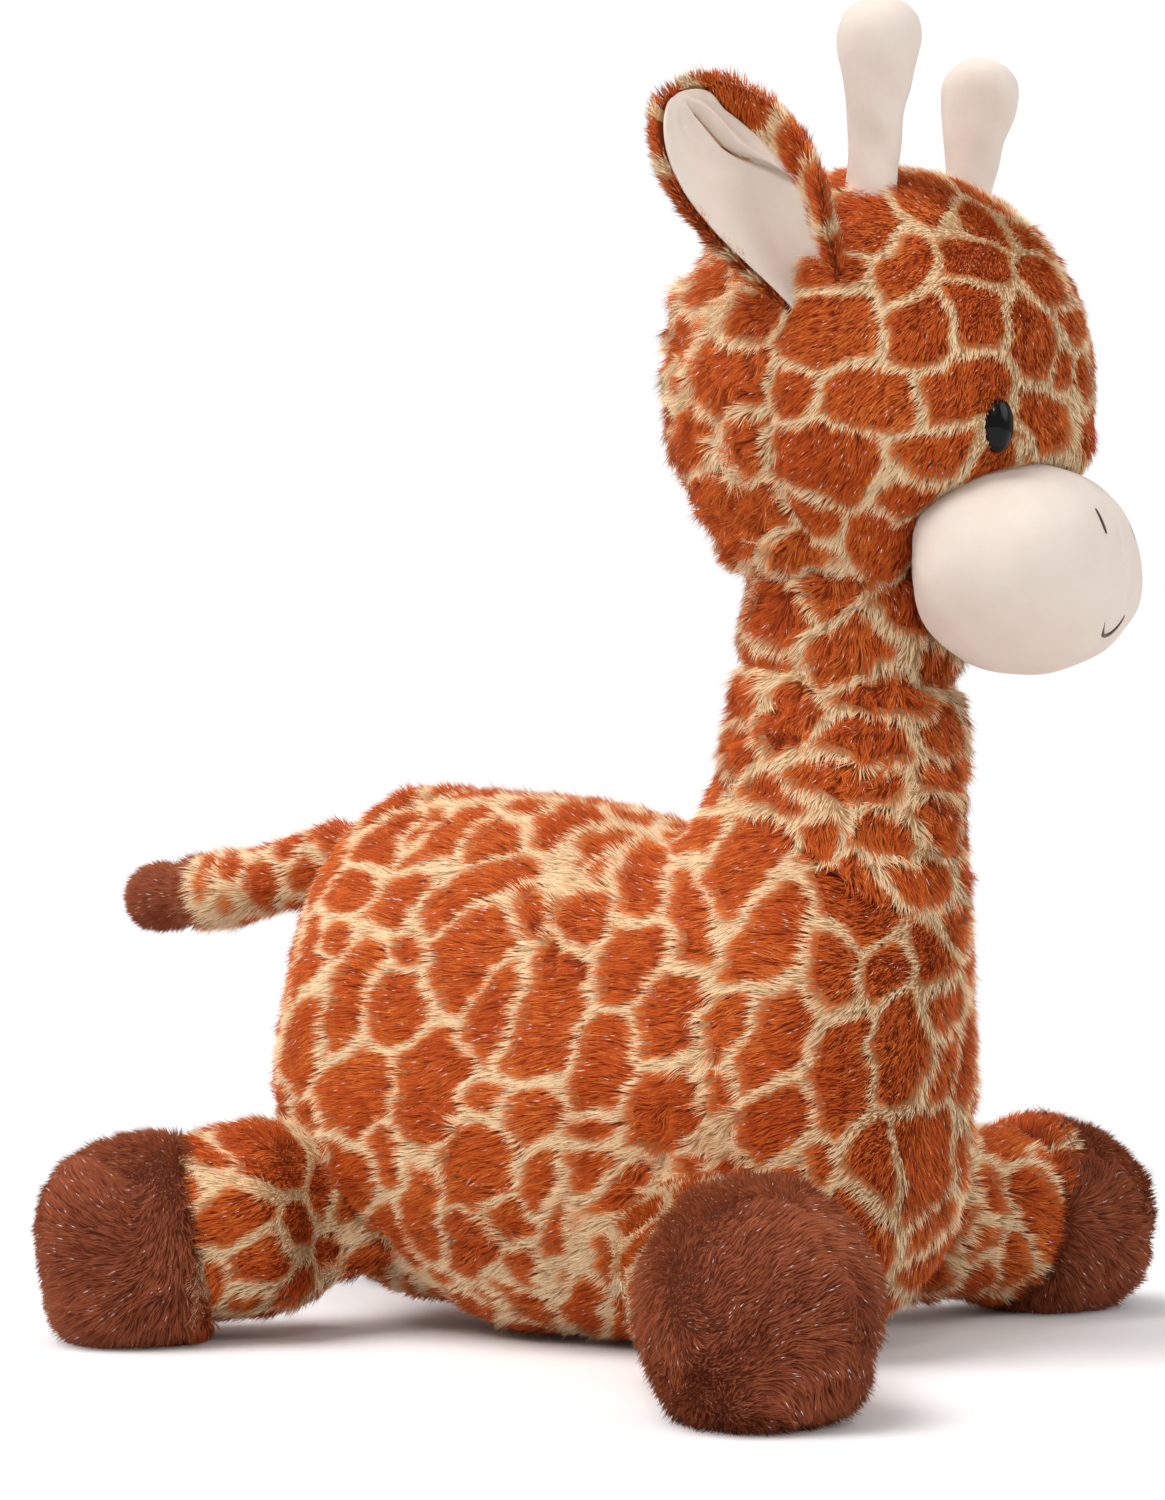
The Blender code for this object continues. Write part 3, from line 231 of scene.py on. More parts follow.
def smooth(reach, places, values):
    """A cubic through values at uneven places: each piece joins two of them with the slopes that their
    neighbours give."""
    places, values = np.asarray(places, float), np.asarray(values, float)
    slopes = np.gradient(values, places, axis=0)
    k = np.clip(np.searchsorted(places, reach, side="right") - 1, 0, len(places) - 2)
    step = places[k + 1] - places[k]
    t = np.clip((reach - places[k]) / step, 0, 1)
    if values.ndim > 1:
        step, t = step[..., None], t[..., None]
    ease = t * t * (3 - 2 * t)
    return (
        values[k] * (1 - ease)
        + values[k + 1] * ease
        + slopes[k] * step * t * (1 - t) ** 2
        - slopes[k + 1] * step * t * t * (1 - t)
    )


def ramp(values, low, high):
    """0 below low, 1 above high, and a smooth step between."""
    t = np.clip((values - low) / (high - low), 0, 1)
    return t * t * (3 - 2 * t)


def ripple(points, size, draw, waves=14):
    """Soft noise, mostly from -1 to 1: a sum of sine waves of about one length in random directions."""
    rng = np.random.default_rng(draw)
    ways = unit(rng.normal(size=(waves, 3))) * FULL_TURN / size * rng.uniform(0.6, 1.5, (waves, 1))
    phases = rng.uniform(0, FULL_TURN, waves)
    total = np.zeros(points.shape[:-1])
    for way, phase in zip(ways, phases):
        total += np.sin(points @ way + phase)
    return total / math.sqrt(waves)


# Skins


class Loft:
    """A skin carried along a path. Each station has a top point, a bottom point and a half width; the
    section between them is a superellipse, and smooth curves join the stations."""

    def __init__(self, side, tops, bottoms, wides, power=2.0):
        self.side, self.power = unit(np.asarray(side, float)), power
        tops, bottoms, wides = (np.asarray(v, float) for v in (tops, bottoms, wides))
        rise = tops - bottoms
        open_rows = np.linalg.norm(rise, axis=1) > 1e-6
        rise[~open_rows] = rise[open_rows][[0 if not open_rows[0] else -1]]
        if not open_rows[0] and not open_rows[-1]:
            rise[-1] = rise[-2]
        profile = np.hstack([(tops + bottoms) / 2, (tops - bottoms) / 2, wides[:, None]])
        steps = np.linalg.norm(np.diff(profile, axis=0), axis=1)
        self.at = np.concatenate([[0], np.cumsum(steps)])
        self.length = self.at[-1]
        self.profile = np.hstack([profile, unit(rise)])

    def read(self, reach):
        """Centre, half rise, half width and the rise's direction at each length along the profile."""
        rows = smooth(np.asarray(reach, float), self.at, self.profile)
        return rows[..., :3], rows[..., 3:6], rows[..., 6], unit(rows[..., 7:10])

    def section(self, turn):
        """Cosine and sine of each turn, raised to 2 / power."""
        across, along = np.cos(turn), np.sin(turn)
        bend = 2.0 / self.power
        return np.sign(across) * abs(across) ** bend, np.sign(along) * abs(along) ** bend

    def grid(self, rows, columns, start=0.0, end=1.0):
        """Points at even lengths along the profile and even turns round it."""
        centre, half, wide, _ = self.read(np.linspace(start, end, rows) * self.length)
        turn = (np.arange(columns) + 0.5) / columns * FULL_TURN - math.pi / 2
        across, along = self.section(turn)
        return (
            centre[:, None]
            + half[:, None] * along[None, :, None]
            + self.side * (wide[:, None] * across[None])[..., None]
        )

    def outside(self, points):
        """About how far each point lies outside the skin, below zero inside it: the station whose plane
        holds the point is found by halving, and the section's own measure gives the share. Points well
        away from the skin's box count as a metre away."""
        shape = points.shape[:-1]
        points = points.reshape(-1, 3)
        corners = self.profile[:, :3]
        reach = np.max(np.abs(self.profile[:, 3:7]).max(axis=1)) + 0.012
        low_corner, high_corner = corners.min(axis=0) - reach, corners.max(axis=0) + reach
        near = np.all((points > low_corner) & (points < high_corner), axis=1)
        far = np.full(len(points), 1.0)
        far[near] = self.beyond(points[near])
        return far.reshape(shape)

    def beyond(self, points):
        """The distance itself, for points near the form."""
        low = np.zeros(len(points))
        high = np.full(len(points), self.length)
        for _ in range(18):
            middle = (low + high) / 2
            centre, _, _, rise = self.read(middle)
            ahead = np.sum((points - centre) * self.onward(rise), axis=-1) > 0
            low, high = np.where(ahead, middle, low), np.where(ahead, high, middle)
        centre, half, wide, rise = self.read((low + high) / 2)
        offset = points - centre
        tall = np.maximum(np.linalg.norm(half, axis=-1), 1e-4)
        wide = np.maximum(wide, 1e-4)
        a = abs(offset @ self.side) / wide
        b = abs(np.sum(offset * rise, axis=-1)) / tall
        share = (a**self.power + b**self.power) ** (1 / self.power)
        off_plane = np.sum(offset * self.onward(rise), axis=-1)
        return (share - 1) * np.minimum(tall, wide) + abs(off_plane)

    def onward(self, rise):
        """The way along the path, square to the side and the rise."""
        way = np.cross(self.side, rise)
        path = self.read(self.length)[0] - self.read(0.0)[0]
        return way * np.sign(np.sum(way * path, axis=-1, keepdims=True) + 1e-9)


class Skin:
    """A closed skin: rows of points round the piece, closed at both ends by a point."""

    def __init__(self, place, start=None, end=None):
        self.place = place
        self.start = place[0].mean(axis=0) if start is None else start
        self.end = place[-1].mean(axis=0) if end is None else end
        self.measure()

    def measure(self):
        """Works out the way out of the skin at each point, from the differences along and round."""
        along = np.gradient(self.place, axis=0)
        round_it = np.roll(self.place, -1, axis=1) - np.roll(self.place, 1, axis=1)
        out = unit(np.cross(along, round_it))
        spread = self.place - self.place.mean(axis=1, keepdims=True)
        self.flipped = np.sum(out * spread) < 0
        self.out = -out if self.flipped else out

    def move(self, distance):
        """Moves every point out by its distance."""
        self.place = self.place + self.out * distance[..., None]
        self.measure()

    def soften(self, inset, wave, size, draw, more=0):
        """Draws the skin in by an inset and makes it wave softly, with lumps of this size."""
        self.move(-inset + wave * ripple(self.place, size, draw) + more)

    def settle(self, floor):
        """Flattens the skin where it would reach below the floor."""
        self.place[..., 2] = np.maximum(self.place[..., 2], floor)
        self.measure()

    def faces(self):
        """Quads between the rows, and a fan of triangles at each end."""
        rows, columns = self.place.shape[:2]
        r, c = np.meshgrid(np.arange(rows - 1), np.arange(columns), indexing="ij")
        d = (c + 1) % columns
        quads = [r * columns + c, (r + 1) * columns + c, (r + 1) * columns + d, r * columns + d]
        quads = np.stack(quads, -1).reshape(-1, 4)
        c = np.arange(columns)
        d = (c + 1) % columns
        last = (rows - 1) * columns
        first_fan = np.stack([c, d, np.full(columns, rows * columns)], -1)
        last_fan = np.stack([last + d, last + c, np.full(columns, rows * columns + 1)], -1)
        fans = np.vstack([first_fan, last_fan])
        if self.flipped:
            quads, fans = quads[:, ::-1], fans[:, ::-1]
        return quads.tolist() + fans.tolist()

    def points(self):
        """The rows' points, and then the two that close the ends."""
        return np.vstack([self.place.reshape(-1, 3), self.start, self.end])

    def sample(self, count, draw, keep=None, extra=None):
        """Roots spread evenly over the skin's area, in the order of its cells, with the way out there and,
        where a grid of some other number is given, that number."""
        rng = np.random.default_rng(draw)
        p = self.place
        wrapped = np.concatenate([p, p[:, :1]], axis=1)
        outs = np.concatenate([self.out, self.out[:, :1]], axis=1)
        a, b = wrapped[:-1, 1:] - wrapped[:-1, :-1], wrapped[1:, :-1] - wrapped[:-1, :-1]
        areas = np.linalg.norm(np.cross(a, b), axis=-1)
        total = np.cumsum(areas.ravel())
        picks = (np.arange(count) + rng.random(count)) / count * total[-1]
        cells = np.minimum(np.searchsorted(total, picks), total.size - 1)
        r, c = np.divmod(cells, p.shape[1])
        s, t = rng.random((2, count, 1))

        def blend(field):
            near = field[r, c] * (1 - t) + field[r, c + 1] * t
            far = field[r + 1, c] * (1 - t) + field[r + 1, c + 1] * t
            return near * (1 - s) + far * s

        found = [blend(wrapped), unit(blend(outs))]
        if extra is not None:
            found.append(blend(np.concatenate([extra, extra[:, :1]], axis=1)[..., None])[:, 0])
        if keep is not None:
            kept = keep(found[0])
            found = [values[kept] for values in found]
        return found


class Patches:
    """The print of the pile. Each patch has a place, a long way and two half sizes, and a point belongs to
    the patch that is nearest in that patch's own stretched measure. It is dyed up to the patch's edge and
    pale between two patches. Rows give patches as they were cut, which are mirrored to the side without
    any, and more are scattered where there is room left."""

    TRIES = 4000  # places on each skin that are tried for a scattered patch
    TWIN_APART, APART = 1.3, 1.62  # room that a mirrored and a scattered patch need, in half sizes
    HARD, LOOSE = 1.36, 1.50  # how far a cut and a scattered patch may reach, in half sizes
    LINE, CUT_LINE = 0.0040, 0.85  # metres of pale line, and its share beside a patch that was cut
    EDGE = 0.003  # metres from a patch's edge to where it is fully deep, or fully pale
    MIDDLE = 7  # millimetres from the toy's middle to where a patch gets a mirrored twin

    def __init__(self, skins, long_way, long, short, draw, rows=()):
        roots, outs = (np.concatenate(v) for v in zip(*(skin.sample(self.TRIES, draw) for skin in skins)))
        order = np.random.default_rng(draw + 1).permutation(len(roots))
        roots, outs = roots[order], outs[order]
        cut = np.array(rows, float).reshape(-1, 6)
        twin = cut[abs(cut[:, 0]) > self.MIDDLE] * np.array([-1, 1, 1, 1, 1, -1])
        cut = np.concatenate([cut, twin]) * np.array([0.001] * 5 + [1])
        near = [np.argmin(np.sum((roots - row[:3]) ** 2, axis=1)) for row in cut]
        places = np.concatenate([cut[:, :3], roots])
        outs = np.concatenate([outs[near], outs]) if near else outs
        rng = np.random.default_rng(draw + 2)
        loose = (np.array([long, short]) - self.LINE) / 2 * rng.uniform(0.8, 1.15, (len(roots), 2))
        halves = np.concatenate([cut[:, 3:5], loose])
        lean = np.radians(np.concatenate([cut[:, 5], rng.normal(0, 18, len(roots))]))[:, None]
        ways = tangent(long_way(places), outs)
        ways = ways * np.cos(lean) + np.cross(outs, ways) * np.sin(lean)
        long_halves, short_halves = halves[:, :1], halves[:, 1:]
        turns = [ways / long_halves, np.cross(outs, ways) / short_halves, outs / long_halves]
        turns = np.stack(turns, axis=1)
        taken = list(range(max(len(rows), 1)))
        for k in range(len(taken), len(places)):
            local = np.einsum("nij,nj->ni", turns[taken], places[k] - places[taken])
            far = math.sqrt(np.min(np.sum(local**2, axis=1)))
            if far > (self.TWIN_APART if k < len(cut) else self.APART):
                taken.append(k)
        self.seeds, self.turns, self.least = places[taken], turns[taken], halves[taken].min(axis=1)
        self.cut = np.array(taken) < len(cut)

    def share(self, points):
        """1 deep in a patch, 0.5 on its edge, 0 on a line: from how far the point lies inside the nearest
        patch's edge, and from how much nearer that patch is than the next."""
        bases = self.turns.transpose(2, 0, 1).reshape(3, -1)
        offsets = np.einsum("nij,nj->ni", self.turns, self.seeds)
        limits = np.where(self.cut, self.HARD, self.LOOSE)
        lines = np.where(self.cut, self.CUT_LINE, 1.0) * self.LINE
        warp = np.stack([ripple(points, 0.022, 90 + k) for k in range(3)], -1) * 0.0015
        found = []
        for part in np.array_split(points + warp, max(1, len(points) // 8000)):
            local = ((part @ bases).reshape(len(part), -1, 3) - offsets) ** 2
            far = 0.3 * np.sqrt(local.sum(axis=-1)) + 0.7 * (local**2).sum(axis=-1) ** 0.25
            row = np.arange(len(part))
            first = np.argmin(far, axis=1)
            near = far[row, first]
            far[row, first] = 99
            gap = (far.min(axis=1) - near) * self.least[first] - lines[first]
            found.append(np.minimum((limits[first] - near) * self.least[first], gap))
        depth = np.concatenate(found) + 0.0005 * ripple(points, 0.03, 7)
        return np.clip(0.5 + depth / (2 * self.EDGE), 0, 1)


def dyed_through(points):
    """Deep in a patch everywhere, for fabric that isn't printed."""
    return np.ones(len(points))


# Pieces


def set_numbers(mesh, word, values):
    """Stores a number at each point of a mesh for its finish to read."""
    store = mesh.attributes.new(word, "FLOAT", "POINT")
    store.data.foreach_set("value", values.astype(np.float32))


def add_piece(name, mesh, finish, body):
    """One object in the row frame that rides on a body; one given a span between two bodies is only fixed in
    place.
    """
    mesh.materials.append(finish)
    obj = bpy.data.objects.new(name, mesh)
    bpy.context.scene.collection.objects.link(obj)
    if isinstance(body, str):
        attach(obj, body)
    else:
        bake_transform(obj)
    return obj


def add_skin(name, skin, finish, body, dye, replaces):
    """A skin's piece, with the solids that it stands for. The dye says how deep each
    point lies in a patch of the print, for a finish that reads it."""
    points = skin.points()
    mesh = bpy.data.meshes.new(name)
    mesh.from_pydata(points, [], skin.faces())
    mesh.shade_smooth()
    if dye:
        set_numbers(mesh, "patch", dye(points))
    obj = add_piece(name, mesh, finish, body)
    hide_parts(*replaces)


def leaf_mesh(name, leaves, normals, numbers):
    """A mesh of leaves, each of four points and two triangles. Its bake chart gives each leaf a cell, in
    rows that run to and fro, so that leaves which stand together also lie together there."""
    count = len(leaves)
    mesh = bpy.data.meshes.new(name)
    mesh.vertices.add(count * 4)
    mesh.vertices.foreach_set("co", leaves.astype(np.float32).ravel())
    corners = (np.arange(count)[:, None] * 4 + LEAF_CORNERS).ravel()
    mesh.loops.add(count * 6)
    mesh.loops.foreach_set("vertex_index", corners.astype(np.int32))
    mesh.polygons.add(count * 2)
    mesh.polygons.foreach_set("loop_start", np.arange(count * 2, dtype=np.int32) * 3)
    mesh.update(calc_edges=True)
    store = mesh.attributes.new("custom_normal", "FLOAT_VECTOR", "POINT")
    store.data.foreach_set("vector", np.repeat(normals, 4, axis=0).astype(np.float32).ravel())
    for word, values in numbers.items():
        set_numbers(mesh, word, np.repeat(values, 4))
    set_numbers(mesh, "along", np.tile([0.0, 0.55, 0.55, 1.0], count))
    side = math.ceil(math.sqrt(count))
    row, column = np.divmod(np.arange(count), side)
    column = np.where(row % 2, side - 1 - column, column)
    cells = (np.stack([column, row], -1)[:, None] + LEAF_SPOTS) / side
    chart = mesh.uv_layers.new(name="OFBake")
    chart.data.foreach_set("uv", cells[:, LEAF_CORNERS].astype(np.float32).ravel())
    return mesh


def add_pile(name, roots, outs, way, length, finish, body, draw, patches=None, lift=(50, 25),
             turned=0.5, width=0.00045, clump=0.16, stray=0.12, wild=None):
    """Strands of pile. Each is a leaf of two triangles: it starts at its root, is widest halfway, and
    bends over to its tip. It lies along the brushed way, turned a little by soft noise, and its tip is
    drawn towards its tuft's middle. Its normals are the skin's own, turned a little at random. Where wild
    gives 1 the pile is ruffled into tufts, and darkened in spots there as painted shade among the tufts."""
    rng = np.random.default_rng(draw)
    count = len(roots)
    ways = tangent(way(roots), outs)
    sides = np.cross(outs, ways)
    ruffled = wild(roots) if wild else np.zeros(count)
    clump, stray = (clump + 0.42 * ruffled)[:, None], stray + 0.75 * ruffled
    turn = ripple(roots, 0.045, draw + 1) * 0.22 + ripple(roots, 0.012, draw + 2) * stray
    turn = (turn + rng.normal(0, 0.12, count))[:, None]
    ways, sides = ways * np.cos(turn) + sides * np.sin(turn), sides * np.cos(turn) - ways * np.sin(turn)
    raised = np.array(lift)[:, None] + rng.normal(0, 7, count)
    raised = np.radians(raised + (6 + 14 * ruffled) * ripple(roots, 0.016, draw + 3))[..., None]
    long = length(roots) if callable(length) else np.full(count, length)
    long = (long * rng.uniform(0.72, 1.12, count) * (1 + 0.14 * ripple(roots, 0.01, draw + 4)))[:, None]
    first, second = ways * np.cos(raised) + outs * np.sin(raised)
    start = roots - outs * 0.0004
    middle = start + first * long * 0.5
    tip = middle + second * long * 0.5
    cell = np.floor(roots / TUFT_SIZE)
    jitter = np.modf(abs(np.sin(cell @ TUFT_MIX.T) * 43758.5))[0]
    tuft = (cell + 0.2 + 0.6 * jitter) * TUFT_SIZE - roots
    tuft = tuft - outs * np.sum(tuft * outs, axis=-1, keepdims=True)
    middle = middle + tuft * clump * 0.35
    tip = tip + tuft * clump
    twist = rng.normal(0, turned, count)[:, None]
    wide = (sides * np.cos(twist) + np.cross(first, sides) * np.sin(twist))
    wide = wide * (rng.uniform(0.7, 1.2, count) * width / 2)[:, None]
    leaves = np.stack([start, middle - wide, middle + wide, tip], axis=1)
    leaves[..., 2] = np.maximum(leaves[..., 2], PILE_FLOOR)
    lean = rng.normal(0, 0.10, (count, 3)) + ways * 0.10 + UP * 0.10
    share = patches.share(roots) if patches else np.ones(count)
    tone = rng.normal(0, 0.34, count) + 0.16 * ripple(roots, 0.007, draw + 5) + 0.16 * ripple(roots, 0.05, 11)
    # painted shade: where the pile is ruffled, spots of strands are darkened as the shade among its tufts
    tone = tone - 0.25 * ruffled * (ripple(roots, 0.010, draw + 6) > 0.2)
    # painted highlight: one strand in many gets a glitter speck on its tip, painted white as its glint
    glitter_glint = (rng.random(count) < 0.016).astype(float)
    numbers = {"patch": share, "shade": np.clip(tone, -1, 1), "glitter_glint": glitter_glint}
    mesh = leaf_mesh(name, leaves, unit(outs + lean), numbers)
    add_piece(name, mesh, finish, body).visible_shadow = False


# Finishes


class Value:
    """A number that varies over a surface. Python's operators on it add Math nodes."""

    def __init__(self, finish, socket):
        self.finish, self.socket = finish, socket

    def join(self, operation, first, second):
        return self.finish.node("ShaderNodeMath", {"operation": operation}, {0: first, 1: second})

    def __add__(self, other):
        return self.join("ADD", self, other)

    def __sub__(self, other):
        return self.join("SUBTRACT", self, other)

    def __rsub__(self, other):
        return self.join("SUBTRACT", other, self)

    def __mul__(self, other):
        return self.join("MULTIPLY", self, other)

    __radd__, __rmul__ = __add__, __mul__


class Finish:
    """A material whose look is worked out by nodes."""

    def __init__(self, name, **constants):
        self.material = bpy.data.materials.new(name)
        self.material.use_nodes = True
        self.tree = self.material.node_tree
        self.shader = self.tree.nodes["Principled BSDF"]
        for socket, value in constants.items():
            self.shader.inputs[socket.replace("_", " ")].default_value = value

    def node(self, kind, settings=None, sockets=None, output=0):
        """Adds a node, makes its settings, and then fills or links its sockets."""
        made = self.tree.nodes.new(kind)
        for key, value in (settings or {}).items():
            setattr(made, key, value)
        for key, value in (sockets or {}).items():
            if isinstance(value, Value):
                self.tree.links.new(value.socket, made.inputs[key])
            else:
                made.inputs[key].default_value = value
        return Value(self, made.outputs[output])

    def read(self, word):
        """A number that is stored at the mesh's points."""
        return self.node("ShaderNodeAttribute", {"attribute_name": word}, output="Fac")

    def places(self):
        """The place on the piece, in metres."""
        return self.node("ShaderNodeTexCoord", output="Object")

    def noise(self, size, detail=3.0, roughness=0.55):
        """Noise from 0 to 1 with lumps of about this size."""
        sockets = {"Vector": self.places(), "Scale": 1 / size, "Detail": detail, "Roughness": roughness}
        return self.node("ShaderNodeTexNoise", {"noise_dimensions": "3D"}, sockets)

    def mix(self, share, first, second, blend="MIX"):
        """A colour from the first at 0 to the second at 1."""
        settings = {"data_type": "RGBA", "blend_type": blend}
        return self.node("ShaderNodeMix", settings, {0: share, 6: first, 7: second}, output=2)

    def clamp(self, value, low, high):
        """0 below low and 1 above high, in a straight line between."""
        sockets = {"Value": value, "From Min": low, "From Max": high}
        return self.node("ShaderNodeMapRange", {"clamp": True}, sockets)

    def vector(self, operation, sockets):
        """A step of vector arithmetic."""
        return self.node("ShaderNodeVectorMath", {"operation": operation}, sockets)

    def bump(self, height, strength, distance):
        """A normal that is bent by a height."""
        sockets = {"Strength": strength, "Distance": distance, "Height": height}
        return self.node("ShaderNodeBump", None, sockets)

    def feed(self, **sockets):
        """Links the shader's sockets and gives the finished material."""
        for socket, value in sockets.items():
            self.tree.links.new(value.socket, self.shader.inputs[socket.replace("_", " ")])
        return self.material


def srgb(red, green, blue):
    """A colour as a screen shows it, 0 to 255, made linear."""
    shown = np.array([red, green, blue]) / 255
    linear = np.where(shown <= 0.04045, shown / 12.92, ((shown + 0.055) / 1.055) ** 2.4)
    return (*linear.tolist(), 1.0)


def pile_strands(name, line, line_dark, rim, patch, patch_light, patch_dark):
    """Pile dyed as the print says: pale, then bright at a patch's rim and deep inside it. Each strand has
    its own tone and is darkened towards its root as painted shade deep in the pile, and one in many has a
    glitter speck on its tip, painted white as a painted glint. A strand is lit as the skin under it and
    its own face are, whichever of its sides is seen."""
    finish = Finish(name, Roughness=0.7, Sheen_Weight=0.05, Sheen_Roughness=0.4, Specular_IOR_Level=0.14)
    finish.material.cycles.use_bump_map_correction = False
    share, tone, along = finish.read("patch"), finish.read("shade"), finish.read("along")
    cloud = finish.noise(0.025)
    bright = finish.clamp(tone + (cloud - 0.5) * 0.8, 0.05, 0.9)
    dark = finish.clamp(0 - tone - (cloud - 0.5) * 0.8, 0.2, 1.2)
    inside = finish.mix(finish.clamp(share, 0.5, 1.0), rim, patch)
    patches = finish.mix(dark, finish.mix(bright, inside, patch_light), patch_dark)
    lines = finish.mix(dark, line, line_dark)
    colour = finish.mix(finish.clamp(share, 0.26, 0.61), lines, patches)
    # painted shade: each strand is darker towards its root, standing for the shade deep in the pile
    root = finish.mix(finish.clamp(along, 0.0, 0.8), (0.48, 0.34, 0.28, 1), WHITE)
    colour = finish.mix(1.0, colour, root, "MULTIPLY")
    # painted highlight: the glitter speck's tip is painted white and made glossier
    glitter_glint = finish.read("glitter_glint") * finish.clamp(along, 0.72, 0.80)
    colour = finish.mix(glitter_glint, colour, WHITE)
    seen = finish.node("ShaderNodeNewGeometry", output="Normal")
    behind = finish.node("ShaderNodeNewGeometry", output="Backfacing")
    face = finish.node("ShaderNodeNewGeometry", output="True Normal")
    kept = finish.vector("SCALE", {0: seen, 3: 1 - behind * 2})
    own = finish.vector("SCALE", {0: face, 3: 0.55})
    both = finish.vector("NORMALIZE", {0: finish.vector("ADD", {0: kept, 1: own})})
    roughness = finish.clamp(1 - glitter_glint, 0.0, 1.0) * 0.5 + 0.22
    return finish.feed(Base_Color=colour, Roughness=roughness, Normal=both)


def pile_backing(name, line, patch):
    """The woven ground under the pile, with the same print, painted darker than the pile as the shade deep
    under its strands.
    """
    finish = Finish(name, Roughness=0.9, Specular_IOR_Level=0.1)
    knit = finish.noise(0.0011, 2.0)
    colour = finish.mix(finish.clamp(finish.read("patch"), 0.40, 0.62), line, patch)
    colour = finish.mix(finish.clamp(knit, 0.3, 0.7) * 0.3, colour, (0.10, 0.03, 0.01, 1))
    return finish.feed(Base_Color=colour, Normal=finish.bump(knit, 0.6, 0.0006))


def velour(name, colour, shaded):
    """Short cream velour: a fine nap with a soft sheen, faint press marks and tiny wrinkles."""
    finish = Finish(name, Roughness=0.85, Sheen_Weight=0.12, Sheen_Roughness=0.5, Specular_IOR_Level=0.15)
    nap, press, wrinkle = finish.noise(0.00035, 2.0), finish.noise(0.012), finish.noise(0.0035, 4.0, 0.6)
    tone = finish.mix(finish.clamp(press, 0.35, 0.8) * 0.35, colour, shaded)
    tone = finish.mix(finish.clamp(nap, 0.25, 0.75) * 0.22, tone, shaded)
    height = nap * 0.45 + wrinkle * 0.5 + press * 0.3
    return finish.feed(Base_Color=tone, Normal=finish.bump(height, 0.35, 0.0009))


def plastic(name, colour, roughness):
    """Moulded plastic with faint flow marks and fine scuffs."""
    finish = Finish(name, Specular_IOR_Level=0.22)
    flow, scuff = finish.noise(0.004), finish.noise(0.0006, 4.0)
    paler = tuple(min(1, c * 1.6 + 0.0006) for c in colour[:3]) + (1,)
    tone = finish.mix(finish.clamp(flow, 0.3, 0.8) * 0.25, colour, paler)
    scuffed = scuff * 0.06 + roughness
    return finish.feed(Base_Color=tone, Roughness=scuffed, Normal=finish.bump(flow, 0.08, 0.0004))


def thread(name, colour):
    """Embroidery thread: the strands across it are painted lighter, as painted highlights where they catch
    the light.
    """
    finish = Finish(name, Roughness=0.6, Sheen_Weight=0.2)
    strand = finish.noise(0.0005, 2.0)
    # painted highlight: the strands across the thread are painted up to 2.2 times lighter
    tone = finish.mix(finish.clamp(strand, 0.3, 0.7), colour, tuple(c * 2.2 for c in colour[:3]) + (1,))
    return finish.feed(Base_Color=tone, Normal=finish.bump(strand, 0.5, 0.0002))


LINE_CREAM, LINE_SHADE = srgb(254, 224, 180), srgb(226, 176, 122)
PATCH_RIM, PATCH_DEEP = srgb(230, 120, 46), srgb(200, 84, 26)
PATCH_LIGHT, PATCH_DARK = srgb(240, 138, 60), srgb(148, 54, 15)
FOOT_BROWN, FOOT_LIGHT, FOOT_DARK = srgb(150, 78, 48), srgb(182, 104, 70), srgb(108, 50, 28)
CREAM_PINK, CREAM_SHADE = srgb(227, 215, 204), srgb(216, 198, 184)

print_dyes = LINE_CREAM, LINE_SHADE, PATCH_RIM, PATCH_DEEP, PATCH_LIGHT, PATCH_DARK
foot_dyes = FOOT_LIGHT, FOOT_BROWN, FOOT_BROWN, FOOT_BROWN, FOOT_LIGHT, FOOT_DARK
patterned = pile_strands("patterned_pile_strands", *print_dyes)
brown = pile_strands("brown_pile_strands", *foot_dyes)
# painted shade: the grounds are much darker than their pile, standing for the shade deep under the strands
patterned_ground = pile_backing("patterned_pile_ground", srgb(196, 158, 112), srgb(126, 50, 18))
brown_ground = pile_backing("brown_pile_ground", srgb(104, 54, 36), srgb(98, 50, 34))
cream = velour("cream_velour_nap", CREAM_PINK, CREAM_SHADE)
eye_black = plastic("eye_plastic_gloss", (0.001, 0.001, 0.0012, 1), 0.05)
washer_white = plastic("washer_plastic_satin", (0.62, 0.62, 0.6, 1), 0.35)
dark_thread = thread("stitch_thread_brown", (0.035, 0.018, 0.013, 1))


# Body forms


def at(forward, rise, across=0.0):
    """A point this far forward, up and across to the toy's left."""
    return FORWARD * forward + UP * rise + SIDE * across


def body_place(forward_share, height_share):
    return at(RUMP_TIP + forward_share * BODY_LENGTH, height_share * BACK_HEIGHT)


